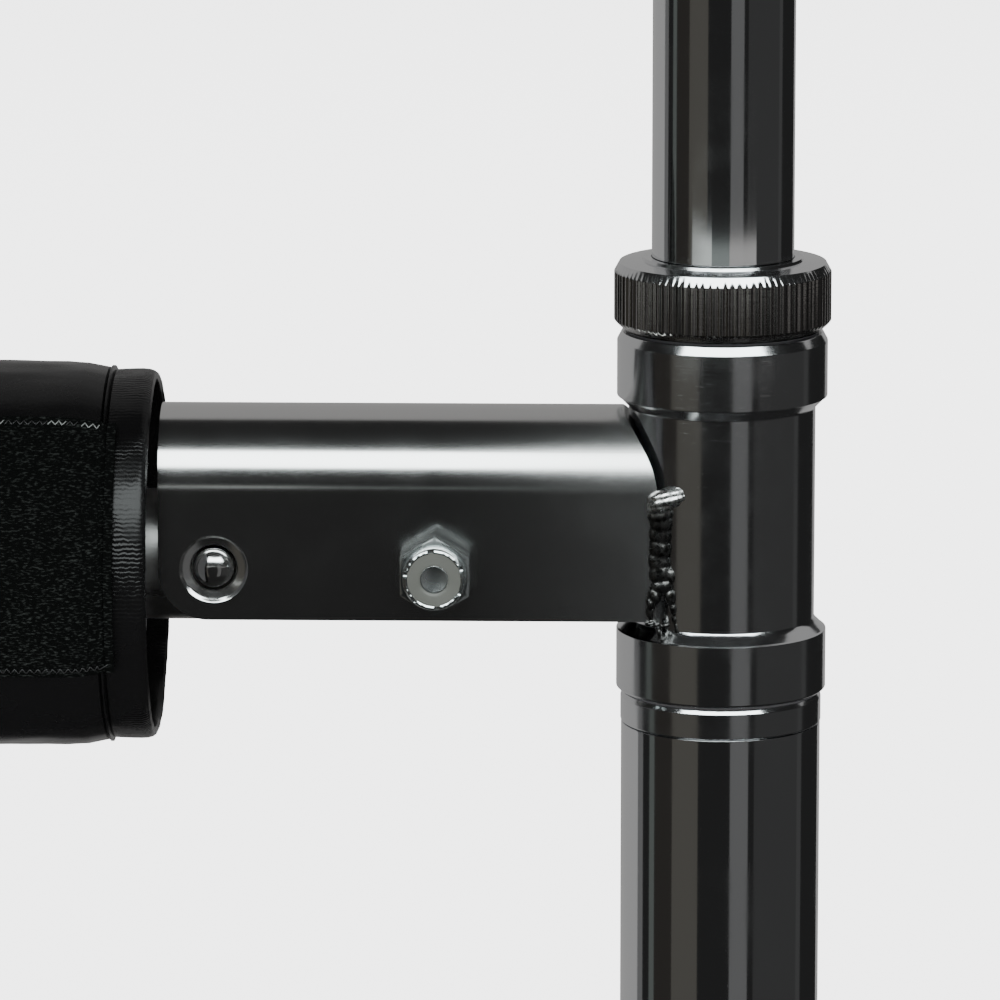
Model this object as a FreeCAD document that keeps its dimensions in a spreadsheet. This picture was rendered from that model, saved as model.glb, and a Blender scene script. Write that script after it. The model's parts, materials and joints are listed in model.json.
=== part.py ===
"""Swivelling padded arm of a pull up bar, with the stretch of post that carries it.

Frame: millimetres, +Z up along the post, origin at the centre of the post's lower end.
The arm points along -X, and the pivot nut and the snap button are on the -Y side.
Most heights are counted from the top of the lower post, which stands post_length above the origin.
"""
import FreeCAD, Part
import math
import os
import re
import Sketcher

# Driving dimensions, millimetres. Heights on the post, its hub, its ring and the channel are counted from
# the lower post's top, and those of the button's rivet head from the arm's axis.
DIMENSIONS = {
    # lower post and the parts fixed in its two ends
    "post_length": 260.0,
    "post_radius": 19.05,
    "post_wall": 2.0,
    "fit_gap": 0.05,
    "foot_plug_depth": 14.0,
    "plug_wall": 2.5,
    "spigot_depth": 30.0,
    "flange_height": 5.95,
    "flange_chamfer": 0.8,
    # fixed shaft that the hub turns on
    "journal_radius": 13.0,
    "shaft_radius": 13.5,
    "shaft_bore": 11.0,
    "shaft_depth": 28.0,
    "shoulder_height": 89.9,
    "shaft_height": 209.0,
    "shaft_plug_depth": 14.0,
    "shaft_plug_head": 2.5,
    "shaft_plug_radius": 12.6,
    "washer_radius": 18.9,
    "washer_low": 6.0,
    "washer_high": 6.4,
    # swivel hub: two bands with a reduced barrel between them
    "hub_low": 6.45,
    "hub_high": 75.6,
    "band_radius": 20.0,
    "band_chamfer": 1.2,
    "band_foot_chamfer": 0.4,
    "low_band_high": 18.2,
    "barrel_low": 20.4,
    "barrel_high": 61.2,
    "top_band_low": 63.3,
    "barrel_radius": 17.75,
    "hub_bore": 14.8,
    "bush_bore": 13.07,
    "bush_length": 20.0,
    "bush_inset": 0.2,
    # knurled ring on its threaded collar
    "collar_radius": 16.2,
    "collar_low": 77.0,
    "collar_high": 85.0,
    "ring_low": 76.1,
    "ring_high": 88.8,
    "ring_radius": 20.6,
    "ring_thread": 16.3,
    "ring_roof": 85.6,
    "ring_bore": 13.6,
    "ring_lip_radius": 15.1,
    "ring_lip_height": 89.8,
    "ring_lip_rise": 0.5,
    "ring_low_chamfer": 1.8,
    "ring_top_chamfer": 1.6,
    "ring_washer_inner": 16.4,
    "ring_washer_outer": 18.3,
    "ring_washer_low": 75.65,
    "ring_washer_high": 76.05,
    # channel bracket: an arched sheet channel, open below
    "channel_half": 14.7,
    "channel_sheet": 2.0,
    "channel_low": 22.0,
    "channel_high": 61.0,
    "channel_reach": 106.5,
    "channel_corner": 9.5,
    "cope_radius": 19.1,
    "weld_radius": 3.2,
    "weld_reach": 11.4,
    "weld_offset": 15.2,
    "weld_low": 22.3,
    "weld_high": 47.5,
    # pivot, through the channel and the arm
    "pivot_reach": 54.0,
    "pivot_height": 31.85,
    "bolt_radius": 3.95,
    "bolt_hole": 4.05,
    "hex_across": 13.0,
    "bolt_head": 5.3,
    "bolt_tip": 23.6,
    "flat_washer_radius": 8.0,
    "flat_washer_sheet": 1.6,
    "nut_hex": 6.5,
    "nut_height": 9.5,
    "nut_collar_radius": 6.0,
    "nut_insert_radius": 5.2,
    "nut_insert_depth": 2.6,
    "nut_insert_inset": 0.3,
    "sleeve_bore": 4.03,
    "sleeve_radius": 6.0,
    "sleeve_length": 25.0,
    # arm tube, counted from the pivot: inboard towards the hub, outboard away from it
    "arm_radius": 12.5,
    "arm_wall": 1.5,
    "arm_inboard": 14.0,
    "arm_outboard": 255.0,
    "cap_radius": 15.5,
    "cap_head": 3.0,
    "cap_depth": 12.0,
    # padded roll on the arm, counted outboard from the pivot
    "pad_start": 53.5,
    "pad_end": 253.5,
    "pad_radius": 37.0,
    "hem_radius": 35.25,
    "hem_width": 8.3,
    "hem_slope": 3.7,
    "hem_lip": 31.5,
    "cover_sheet": 1.2,
    "foam_inset": 4.0,
    "foam_bore": 12.7,
    "foam_gap": 0.15,
    "tape_sheet": 0.8,
    "tape_overlap": 0.6,
    "tape_angle": 80.0,
    "tape_tilt": 13.5,
    # snap button and its V-shaped clip inside the arm tube
    "button_reach": 42.0,
    "button_radius": 4.0,
    "button_round": 2.2,
    "button_tip": 16.2,
    "button_hole": 4.3,
    "button_dimple": 1.3,
    "button_shoulder": 10.05,
    "rivet_radius": 2.0,
    "rivet_head_radius": 3.2,
    "rivet_head_top": 9.15,
    "rivet_head_low": 8.3,
    "clip_sheet": 0.8,
    "clip_width": 8.0,
    "clip_half": 10.0,
    "clip_near": 36.0,
    "clip_knee": 50.0,
    "clip_heel": 88.0,
    "clip_heel_half": 2.2,
    "clip_end": 91.0,
}

doc = FreeCAD.newDocument("pull_up_bar")
dims = doc.addObject("Spreadsheet::Sheet", "dims")
subparts = []


def fill_sheet():
    """Write each driving dimension into the sheet as a plain number with an alias."""
    for row, (name, value) in enumerate(DIMENSIONS.items(), start=1):
        dims.set("A%d" % row, name)
        dims.set("B%d" % row, str(value))
        dims.setAlias("B%d" % row, name)
    doc.recompute()


def bound(formula):
    """Turn a formula over dimension names into an expression over the sheet's cells."""
    return re.sub(r"[a-z][a-z_]*", lambda word: "dims." + word.group(), formula)


def place(piece, x="0", y="0", z="0", turn_axis=(0, 0, 1), turn=0):
    """Stand a piece at a bound position, turned by a fixed angle in degrees."""
    rotation = FreeCAD.Rotation(FreeCAD.Vector(*turn_axis), turn)
    piece.Placement = FreeCAD.Placement(FreeCAD.Vector(), rotation)
    for axis, formula in (("x", x), ("y", y), ("z", z)):
        if formula != "0":
            piece.setExpression("Placement.Base." + axis, bound(formula))


def finish(piece, node):
    """Name a finished sub-part and put it on the list of exported pieces."""
    piece.Label = node
    subparts.append(piece)
    return piece


def new_body(node):
    return doc.addObject("PartDesign::Body", node)


def new_sketch(body, name, plane):
    """Start a sketch on one of the body's own origin planes."""
    sketch = body.newObject("Sketcher::SketchObject", name)
    support = [item for item in body.Origin.OriginFeatures if item.Role == plane][0]
    sketch.AttachmentSupport = (support, [""])
    sketch.MapMode = "FlatFace"
    return sketch


def outline(body, name, plane, corners):
    """Draw a closed outline whose every corner is held at a bound place."""
    sketch = new_sketch(body, name, plane)
    spots = []
    for across, up in corners:
        x = float(sketch.evalExpression(bound(across)))
        y = float(sketch.evalExpression(bound(up)))
        spots.append(FreeCAD.Vector(x, y, 0))
    count = len(spots)
    for i in range(count):
        sketch.addGeometry(Part.LineSegment(spots[i], spots[(i + 1) % count]))
    for i, (across, up) in enumerate(corners):
        sketch.addConstraint(Sketcher.Constraint("Coincident", i, 2, (i + 1) % count, 1))
        for kind, value, formula in (("DistanceX", spots[i].x, across), ("DistanceY", spots[i].y, up)):
            index = sketch.addConstraint(Sketcher.Constraint(kind, -1, 1, i, 1, value))
            sketch.setExpression("Constraints[%d]" % index, bound(formula))
    return sketch


def circles(body, name, plane, rounds):
    """Draw circles, each given as bound centre across, centre up and radius."""
    sketch = new_sketch(body, name, plane)
    for across, up, radius in rounds:
        x, y, r = [float(sketch.evalExpression(bound(text))) for text in (across, up, radius)]
        item = sketch.addGeometry(Part.Circle(FreeCAD.Vector(x, y, 0), FreeCAD.Vector(0, 0, 1), r))
        holds = (
            (Sketcher.Constraint("DistanceX", -1, 1, item, 3, x), across),
            (Sketcher.Constraint("DistanceY", -1, 1, item, 3, y), up),
            (Sketcher.Constraint("Radius", item, r), radius),
        )
        for constraint, formula in holds:
            index = sketch.addConstraint(constraint)
            sketch.setExpression("Constraints[%d]" % index, bound(formula))
    return sketch


def arch(body, name, half, low, spring):
    """Draw a full-round arch on the YZ plane: half its width, its open end and where its curve springs."""
    sketch = new_sketch(body, name, "YZ_Plane")
    w, b, s = [float(sketch.evalExpression(bound(text))) for text in (half, low, spring)]
    round_top = Part.Circle(FreeCAD.Vector(0, s, 0), FreeCAD.Vector(0, 0, 1), w)
    sketch.addGeometry(Part.LineSegment(FreeCAD.Vector(-w, b, 0), FreeCAD.Vector(w, b, 0)))
    sketch.addGeometry(Part.LineSegment(FreeCAD.Vector(w, b, 0), FreeCAD.Vector(w, s, 0)))
    sketch.addGeometry(Part.ArcOfCircle(round_top, 0, math.pi))
    sketch.addGeometry(Part.LineSegment(FreeCAD.Vector(-w, s, 0), FreeCAD.Vector(-w, b, 0)))
    for i in range(4):
        sketch.addConstraint(Sketcher.Constraint("Coincident", i, 2, (i + 1) % 4, 1))
    sketch.addConstraint(Sketcher.Constraint("Horizontal", 0))
    sketch.addConstraint(Sketcher.Constraint("Vertical", 1))
    sketch.addConstraint(Sketcher.Constraint("Vertical", 3))
    sketch.addConstraint(Sketcher.Constraint("PointOnObject", 2, 3, -2))
    holds = (
        (Sketcher.Constraint("DistanceY", -1, 1, 0, 1, b), low),
        (Sketcher.Constraint("DistanceX", -1, 1, 1, 1, w), half),
        (Sketcher.Constraint("DistanceY", -1, 1, 1, 2, s), spring),
        (Sketcher.Constraint("DistanceY", -1, 1, 2, 3, s), spring),
    )
    for constraint, formula in holds:
        index = sketch.addConstraint(constraint)
        sketch.setExpression("Constraints[%d]" % index, bound(formula))
    return sketch


def revolve(body, name, sketch, axis, angle="360"):
    """Turn an outline about one of its sketch's axes."""
    feature = body.newObject("PartDesign::Revolution", name)
    feature.Profile = sketch
    feature.ReferenceAxis = (sketch, [axis])
    feature.Midplane = angle != "360"
    feature.setExpression("Angle", bound(angle))
    return feature


def pad(body, name, sketch, length, back=None, symmetric=False, reverse=False):
    """Raise an outline to a bound length, on one side, on two sides or evenly on both."""
    feature = body.newObject("PartDesign::Pad", name)
    feature.Profile = sketch
    feature.setExpression("Length", bound(length))
    feature.Reversed = reverse
    if back:
        feature.SideType = "Two sides"
        feature.setExpression("Length2", bound(back))
    if symmetric:
        feature.SideType = "Symmetric"
    return feature


def pocket(body, name, sketch, side="Symmetric", reverse=False):
    """Cut an outline right through the body, and make sure that it removed something."""
    doc.recompute()
    before = body.Shape.Volume
    feature = body.newObject("PartDesign::Pocket", name)
    feature.Profile = sketch
    feature.Type = "ThroughAll"
    feature.SideType = side
    feature.Reversed = reverse
    doc.recompute()
    if body.Shape.Volume >= before:
        raise RuntimeError(name + " removed nothing")
    return feature


def dress(body, kind, name, size_property, size, wanted):
    """Fillet or chamfer the edges of the body's last feature that a test picks out."""
    doc.recompute()
    base = body.Tip
    names = ["Edge%d" % (i + 1) for i, edge in enumerate(base.Shape.Edges) if wanted(edge)]
    if not names:
        raise RuntimeError(name + " found no edge")
    feature = body.newObject("PartDesign::" + kind, name)
    feature.Base = (base, names)
    feature.setExpression(size_property, bound(size))
    return feature


def turned(node, corners, on_post=True):
    """Make a piece that is turned about the post's axis, its corners given as radius and height."""
    body = new_body(node)
    sketch = outline(body, node + "_outline", "XZ_Plane", corners)
    revolve(body, node + "_turned", sketch, "V_Axis")
    if on_post:
        place(body, z="post_length")
    return finish(body, node)


def turned_on_arm(node, corners):
    """Make a piece that is turned about the arm's axis, its corners given as reach and radius."""
    body = new_body(node)
    sketch = outline(body, node + "_outline", "XZ_Plane", corners)
    revolve(body, node + "_turned", sketch, "H_Axis")
    at_pivot(body)
    return finish(body, node)


def at_pivot(piece, turn_axis=(0, 0, 1), turn=0):
    """Stand a piece on the pivot, where the arm's own measures start."""
    place(piece, x="-pivot_reach", z="post_length + pivot_height", turn_axis=turn_axis, turn=turn)


def tube_corners(inner, outer, low, high):
    """List the four corners of a plain ring or tube."""
    return [(inner, low), (outer, low), (outer, high), (inner, high)]


def primitive(kind, name, sizes):
    """Add a Part primitive with bound sizes."""
    piece = doc.addObject("Part::" + kind, name)
    for size, formula in sizes.items():
        piece.setExpression(size, bound(formula))
    return piece


def cylinder(name, radius, height):
    return primitive("Cylinder", name, {"Radius": radius, "Height": height})


def hexagon(name, height):
    """Add a hexagonal prism for a bolt head or nut, sized across its flats."""
    prism = doc.addObject("Part::Prism", name)
    prism.Polygon = 6
    prism.setExpression("Circumradius", bound("hex_across") + " / sqrt(3)")
    prism.setExpression("Height", bound(height))
    return prism


def join(name, pieces):
    fused = doc.addObject("Part::MultiFuse", name)
    fused.Shapes = pieces
    return fused


def cut(name, base, tool):
    remainder = doc.addObject("Part::Cut", name)
    remainder.Base = base
    remainder.Tool = tool
    return remainder


def make_post():
    """Lower post tube, the plug in its foot and the flanged bush pressed into its top."""
    bore = "post_radius - post_wall"
    plug = bore + " - fit_gap"
    turned("lower_post", tube_corners(bore, "post_radius", "0", "post_length"), on_post=False)
    turned("post_foot_plug", [
        ("0", "0"),
        (plug, "0"),
        (plug, "foot_plug_depth"),
        (plug + " - plug_wall", "foot_plug_depth"),
        (plug + " - plug_wall", "plug_wall"),
        ("0", "plug_wall"),
    ], on_post=False)
    turned("post_top_bush", [
        ("journal_radius + fit_gap", "-spigot_depth"),
        (plug, "-spigot_depth"),
        (plug, "0"),
        ("post_radius", "0"),
        ("post_radius", "flange_height - flange_chamfer"),
        ("post_radius - flange_chamfer", "flange_height"),
        ("journal_radius + fit_gap", "flange_height"),
    ])


def make_shaft():
    """Fixed shaft with its turned journal, the threaded collar on it, its top plug and the thrust washer."""
    turned("upper_shaft", [
        ("shaft_bore", "-shaft_depth"),
        ("journal_radius", "-shaft_depth"),
        ("journal_radius", "shoulder_height"),
        ("shaft_radius", "shoulder_height"),
        ("shaft_radius", "shaft_height"),
        ("shaft_bore", "shaft_height"),
    ])
    turned("shaft_top_plug", [
        ("0", "shaft_height - shaft_plug_depth"),
        ("shaft_bore - fit_gap", "shaft_height - shaft_plug_depth"),
        ("shaft_bore - fit_gap", "shaft_height + fit_gap"),
        ("shaft_plug_radius", "shaft_height + fit_gap"),
        ("shaft_plug_radius", "shaft_height + shaft_plug_head - flange_chamfer"),
        ("shaft_plug_radius - flange_chamfer", "shaft_height + shaft_plug_head"),
        ("0", "shaft_height + shaft_plug_head"),
    ])
    bore = "journal_radius + fit_gap"
    turned("thread_collar", tube_corners(bore, "collar_radius", "collar_low", "collar_high"))
    turned("thrust_washer", tube_corners("bush_bore", "washer_radius", "washer_low", "washer_high"))


def make_hub():
    """Swivel hub and the two plain bushes it turns on."""
    turned("swivel_hub", [
        ("hub_bore", "hub_low"),
        ("band_radius - band_foot_chamfer", "hub_low"),
        ("band_radius", "hub_low + band_foot_chamfer"),
        ("band_radius", "low_band_high"),
        ("barrel_radius", "barrel_low"),
        ("barrel_radius", "barrel_high"),
        ("band_radius", "top_band_low"),
        ("band_radius", "hub_high - band_chamfer"),
        ("band_radius - band_chamfer", "hub_high"),
        ("hub_bore", "hub_high"),
    ])
    wall = ("bush_bore", "hub_bore - fit_gap")
    low = "hub_low + bush_inset"
    high = "hub_high - bush_inset"
    turned("hub_bush_lower", tube_corners(*wall, low, low + " + bush_length"))
    turned("hub_bush_upper", tube_corners(*wall, high + " - bush_length", high))


def make_ring():
    """Knurled ring that screws down on the collar, and the friction washer that it carries."""
    turned("ring_washer", tube_corners(
        "ring_washer_inner", "ring_washer_outer", "ring_washer_low", "ring_washer_high"))
    turned("knurled_ring", [
        ("ring_thread", "ring_low"),
        ("ring_radius - ring_low_chamfer", "ring_low"),
        ("ring_radius", "ring_low + ring_low_chamfer"),
        ("ring_radius", "ring_high - ring_top_chamfer"),
        ("ring_radius - ring_top_chamfer", "ring_high"),
        ("ring_lip_radius", "ring_lip_height - ring_lip_rise"),
        ("ring_lip_radius", "ring_lip_height"),
        ("ring_bore", "ring_lip_height"),
        ("ring_bore", "ring_roof"),
        ("ring_thread", "ring_roof"),
    ])


def make_channel():
    """Sheet channel bracket: arched top, coped to the hub, drilled for the bolt and the button."""
    body = new_body("channel_bracket")
    spring = "channel_high - channel_half"
    outside = arch(body, "channel_outside", "channel_half", "channel_low", spring)
    pad(body, "channel_block", outside, "channel_reach", reverse=True)
    hollow = "channel_half - channel_sheet"
    inside = arch(body, "channel_inside", hollow, "channel_low - channel_sheet", spring)
    pocket(body, "channel_hollow", inside)
    cope = circles(body, "cope_circle", "XY_Plane", [("0", "0", "cope_radius")])
    pocket(body, "cope", cope)
    bolt_hole = circles(body, "bolt_circle", "XZ_Plane", [("-pivot_reach", "pivot_height", "bolt_hole")])
    pocket(body, "bolt_holes", bolt_hole)
    button_centre = "-pivot_reach - button_reach"
    button_hole = circles(body, "button_circle", "XZ_Plane", [(button_centre, "pivot_height", "button_hole")])
    pocket(body, "button_hole_near", button_hole, side="One side", reverse=True)
    dress(body, "Chamfer", "button_dimple", "Size", "button_dimple", is_button_rim)
    dress(body, "Fillet", "outer_corners", "Radius", "channel_corner", is_outer_corner)
    place(body, z="post_length")
    finish(body, "channel_bracket")


def is_button_rim(edge):
    """Pick the round edge of the button's hole on the channel's outer face."""
    round_edge = hasattr(edge.Curve, "Radius") and abs(edge.Curve.Radius - DIMENSIONS["button_hole"]) < 0.01
    return round_edge and abs(edge.CenterOfMass.y + DIMENSIONS["channel_half"]) < 0.01


def is_outer_corner(edge):
    """Pick the two sheet edges at the channel's lower outer corners."""
    middle = edge.CenterOfMass
    at_end = abs(middle.x + DIMENSIONS["channel_reach"]) < 0.01
    at_bottom = abs(middle.z - DIMENSIONS["channel_low"]) < 0.01
    return at_end and at_bottom


def make_welds():
    """Two upright weld beads that join the channel's sides to the hub's barrel."""
    for side, sign in (("near", "-"), ("far", "")):
        bead = cylinder("bead_" + side, "weld_radius", "weld_high - weld_low")
        place(bead, x="-weld_reach", y=sign + "weld_offset", z="post_length + weld_low")
        barrel = cylinder("bead_barrel_" + side, "barrel_radius + fit_gap", "channel_high")
        place(barrel, z="post_length")
        channel = primitive("Box", "bead_channel_" + side, {
            "Length": "channel_reach",
            "Width": "channel_half * 2 + fit_gap * 2",
            "Height": "channel_high",
        })
        place(channel, x="-channel_reach", y="-channel_half - fit_gap", z="post_length")
        solid = join("bead_backing_" + side, [barrel, channel])
        finish(cut("bracket_weld_" + side, bead, solid), "bracket_weld_" + side)


def across_pivot(piece, start):
    """Lay a piece along the pivot's axis, from a bound start towards +Y, with a hexagon's corner up."""
    corner_up = FreeCAD.Rotation(FreeCAD.Vector(0, 0, 1), FreeCAD.Vector(1, 0, 0), FreeCAD.Vector(0, 1, 0))
    piece.Placement = FreeCAD.Placement(FreeCAD.Vector(), corner_up)
    piece.setExpression("Placement.Base.x", bound("-pivot_reach"))
    piece.setExpression("Placement.Base.y", bound(start))
    piece.setExpression("Placement.Base.z", bound("post_length + pivot_height"))
    return piece


def make_pivot():
    """Pivot bolt, its washer, its lock nut with a ring insert, and the sleeve that the arm turns with."""
    outside = "channel_half + fit_gap"
    head_start = outside + " + flat_washer_sheet + fit_gap"
    head = across_pivot(hexagon("bolt_head", "bolt_head"), head_start)
    shank = across_pivot(cylinder("bolt_shank", "bolt_radius", "bolt_tip + " + head_start), "-bolt_tip")
    finish(join("pivot_bolt", [head, shank]), "pivot_bolt")
    disc = across_pivot(cylinder("washer_disc", "flat_washer_radius", "flat_washer_sheet"), outside)
    hole = across_pivot(cylinder("washer_hole", "bolt_hole", "flat_washer_sheet"), outside)
    finish(cut("pivot_washer", disc, hole), "pivot_washer")
    face = "-channel_half - fit_gap"
    block = across_pivot(hexagon("nut_block", "nut_hex"), face + " - nut_hex")
    collar = across_pivot(cylinder("nut_collar", "nut_collar_radius", "nut_height"), face + " - nut_height")
    thread = across_pivot(cylinder("nut_thread", "bolt_hole", "nut_height"), face + " - nut_height")
    dish = cylinder("nut_recess", "nut_insert_radius", "nut_insert_depth")
    recess = across_pivot(dish, face + " - nut_height")
    body = join("nut_body", [block, collar])
    finish(cut("pivot_nut", body, join("nut_inside", [thread, recess])), "pivot_nut")
    start = face + " - nut_height + nut_insert_inset"
    thick = "nut_insert_depth - nut_insert_inset - fit_gap"
    ring = across_pivot(cylinder("insert_ring", "nut_insert_radius - fit_gap", thick), start)
    eye = across_pivot(cylinder("insert_eye", "bolt_hole", "nut_insert_depth"), start)
    finish(cut("nut_insert", ring, eye), "nut_insert")
    tube = across_pivot(cylinder("sleeve_tube", "sleeve_radius", "sleeve_length"), "-sleeve_length / 2")
    bore = across_pivot(cylinder("sleeve_bore_tool", "sleeve_bore", "sleeve_length"), "-sleeve_length / 2")
    finish(cut("pivot_sleeve", tube, bore), "pivot_sleeve")


def make_arm():
    """Arm tube, cross-drilled for the sleeve and the button, and the cap in its outer end."""
    body = new_body("arm_tube")
    rounds = [("0", "0", "arm_radius"), ("0", "0", "arm_radius - arm_wall")]
    section = circles(body, "arm_section", "YZ_Plane", rounds)
    pad(body, "arm_length", section, "arm_inboard", back="arm_outboard")
    sleeve = circles(body, "sleeve_circle", "XZ_Plane", [("0", "0", "sleeve_radius + fit_gap")])
    pocket(body, "sleeve_holes", sleeve)
    button_hole = ("-button_reach", "0", "button_radius + fit_gap * 3")
    button = circles(body, "arm_button_circle", "XZ_Plane", [button_hole])
    pocket(body, "arm_button_hole", button, side="One side", reverse=True)
    at_pivot(body)
    finish(body, "arm_tube")
    cap_end = "-arm_outboard - fit_gap - cap_head"
    turned_on_arm("arm_end_cap", [
        ("cap_depth - arm_outboard", "0"),
        ("cap_depth - arm_outboard", "arm_radius - arm_wall - fit_gap"),
        ("-arm_outboard - fit_gap", "arm_radius - arm_wall - fit_gap"),
        ("-arm_outboard - fit_gap", "cap_radius"),
        (cap_end + " + flange_chamfer", "cap_radius"),
        (cap_end, "cap_radius - flange_chamfer"),
        (cap_end, "0"),
    ])


def roll_profile(inset, ends, drop):
    """List a roll's outer corners, drop inside the cover's surface and inset from its two ends."""
    hem = "hem_radius - " + drop
    full = "pad_radius - " + drop
    near = "-pad_start"
    far = "-pad_end"
    return [
        (near + " - " + inset, ends),
        (near + " - " + inset, hem),
        (near + " - hem_width", hem),
        (near + " - hem_width - hem_slope", full),
        (far + " + hem_width + hem_slope", full),
        (far + " + hem_width", hem),
        (far + " + " + inset, hem),
        (far + " + " + inset, ends),
    ]


def make_roll():
    """Foam core, the hemmed cover sewn round it, and the loop tape on the cover's near side."""
    turned_on_arm("foam_core", roll_profile("foam_inset", "foam_bore", "(cover_sheet + foam_gap)"))
    outside = roll_profile("0", "hem_lip", "0")
    inside = roll_profile("cover_sheet", "hem_lip", "cover_sheet")
    turned_on_arm("pad_cover", outside + inside[::-1])
    body = new_body("loop_tape")
    over = roll_profile("(hem_width - tape_overlap)", "hem_radius + fit_gap", "(-tape_sheet - fit_gap)")[1:-1]
    under = roll_profile("(hem_width - tape_overlap)", "hem_radius + fit_gap", "(-fit_gap)")[1:-1]
    corners = [(reach, "-(" + radius + ")") for reach, radius in over + under[::-1]]
    sketch = outline(body, "tape_outline", "XY_Plane", corners)
    revolve(body, "tape_wrapped", sketch, "H_Axis", "tape_angle")
    at_pivot(body, turn_axis=(1, 0, 0), turn=-DIMENSIONS["tape_tilt"])
    finish(body, "loop_tape")


def make_button():
    """Snap button with its riveted tail, and the V-shaped leaf clip that pushes it out of the arm."""
    body = new_body("snap_button")
    sketch = outline(body, "button_outline", "XZ_Plane", [
        ("0", "rivet_head_low"),
        ("rivet_head_radius", "rivet_head_low"),
        ("rivet_head_radius", "rivet_head_top"),
        ("rivet_radius", "rivet_head_top"),
        ("rivet_radius", "button_shoulder"),
        ("button_radius", "button_shoulder"),
        ("button_radius", "button_tip"),
        ("0", "button_tip"),
    ])
    revolve(body, "button_turned", sketch, "V_Axis")
    dress(body, "Fillet", "button_dome", "Radius", "button_round", is_button_top)
    place(body, x="-pivot_reach - button_reach", z="post_length + pivot_height", turn_axis=(1, 0, 0), turn=90)
    finish(body, "snap_button")
    body = new_body("button_clip")
    outer = [("-clip_near", "-clip_half"), ("-clip_knee", "-clip_half"), ("-clip_heel", "-clip_heel_half")]
    inner = [(reach, half + " + clip_sheet") for reach, half in outer]
    mirrored = [(reach, half[1:]) for reach, half in outer]
    mirrored_inner = [(reach, half + " - clip_sheet") for reach, half in mirrored]
    corners = outer + [("-clip_end", "0")] + mirrored[::-1]
    corners += mirrored_inner + [("clip_sheet - clip_end", "0")] + inner[::-1]
    sketch = outline(body, "clip_outline", "XY_Plane", corners)
    pad(body, "clip_leaf", sketch, "clip_width", symmetric=True)
    hole = circles(body, "clip_circle", "XZ_Plane", [("-button_reach", "0", "rivet_radius + fit_gap * 2")])
    pocket(body, "clip_hole", hole, side="One side", reverse=True)
    at_pivot(body)
    finish(body, "button_clip")


def is_button_top(edge):
    """Pick the outer rim of the button's flat top before it is rounded."""
    round_edge = hasattr(edge.Curve, "Radius") and abs(edge.Curve.Radius - DIMENSIONS["button_radius"]) < 0.01
    return round_edge and abs(edge.CenterOfMass.z - DIMENSIONS["button_tip"]) < 0.01


def check_and_export():
    """Stop on any failed feature or bad solid, then write each sub-part to its own file."""
    doc.recompute()
    for item in doc.Objects:
        if "Invalid" in item.State or "Error" in item.State:
            raise RuntimeError("failed feature: " + item.Label)
    os.makedirs("parts", exist_ok=True)
    for piece in subparts:
        if piece.Shape.isNull() or not piece.Shape.isValid():
            raise RuntimeError("bad shape: " + piece.Label)
        piece.Shape.exportStep("parts/%s.step" % piece.Label)
        volume = piece.Shape.Volume / 1000
        print("%-20s %8.2f cm3  %d solid(s)" % (piece.Label, volume, len(piece.Shape.Solids)))


fill_sheet()
make_post()
make_shaft()
make_hub()
make_ring()
make_channel()
make_welds()
make_pivot()
make_arm()
make_roll()
make_button()
check_and_export()
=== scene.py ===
import json
import math

import bmesh
import bpy
from mathutils import Matrix, Vector


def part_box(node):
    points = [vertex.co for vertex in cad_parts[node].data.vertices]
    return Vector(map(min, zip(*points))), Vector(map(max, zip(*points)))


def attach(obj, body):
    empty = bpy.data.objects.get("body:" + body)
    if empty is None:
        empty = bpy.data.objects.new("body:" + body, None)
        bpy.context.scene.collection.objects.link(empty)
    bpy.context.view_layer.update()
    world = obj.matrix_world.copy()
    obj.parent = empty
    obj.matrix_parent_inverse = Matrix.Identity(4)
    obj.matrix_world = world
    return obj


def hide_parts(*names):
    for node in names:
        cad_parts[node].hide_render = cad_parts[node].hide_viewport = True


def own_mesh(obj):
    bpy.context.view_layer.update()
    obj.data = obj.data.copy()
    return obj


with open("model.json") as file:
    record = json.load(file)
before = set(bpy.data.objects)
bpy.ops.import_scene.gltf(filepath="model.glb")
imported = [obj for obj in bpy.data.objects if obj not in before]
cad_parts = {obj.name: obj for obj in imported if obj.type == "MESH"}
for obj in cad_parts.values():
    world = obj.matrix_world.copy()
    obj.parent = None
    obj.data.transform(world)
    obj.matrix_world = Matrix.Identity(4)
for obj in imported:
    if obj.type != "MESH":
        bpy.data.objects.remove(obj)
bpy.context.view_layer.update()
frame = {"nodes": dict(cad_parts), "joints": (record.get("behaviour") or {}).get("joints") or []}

nodes = frame["nodes"]

# ---------------------------------------------------------------------------------------------------
# Lower post: a drawn steel tube, bright chromium plated. It stays still, and everything above is
# built up from its top end, so its upper edge is where the heights of the other pieces start.
# ---------------------------------------------------------------------------------------------------
post_low, post_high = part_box("lower_post")
post_top = post_high.z
mm = 0.001


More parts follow.
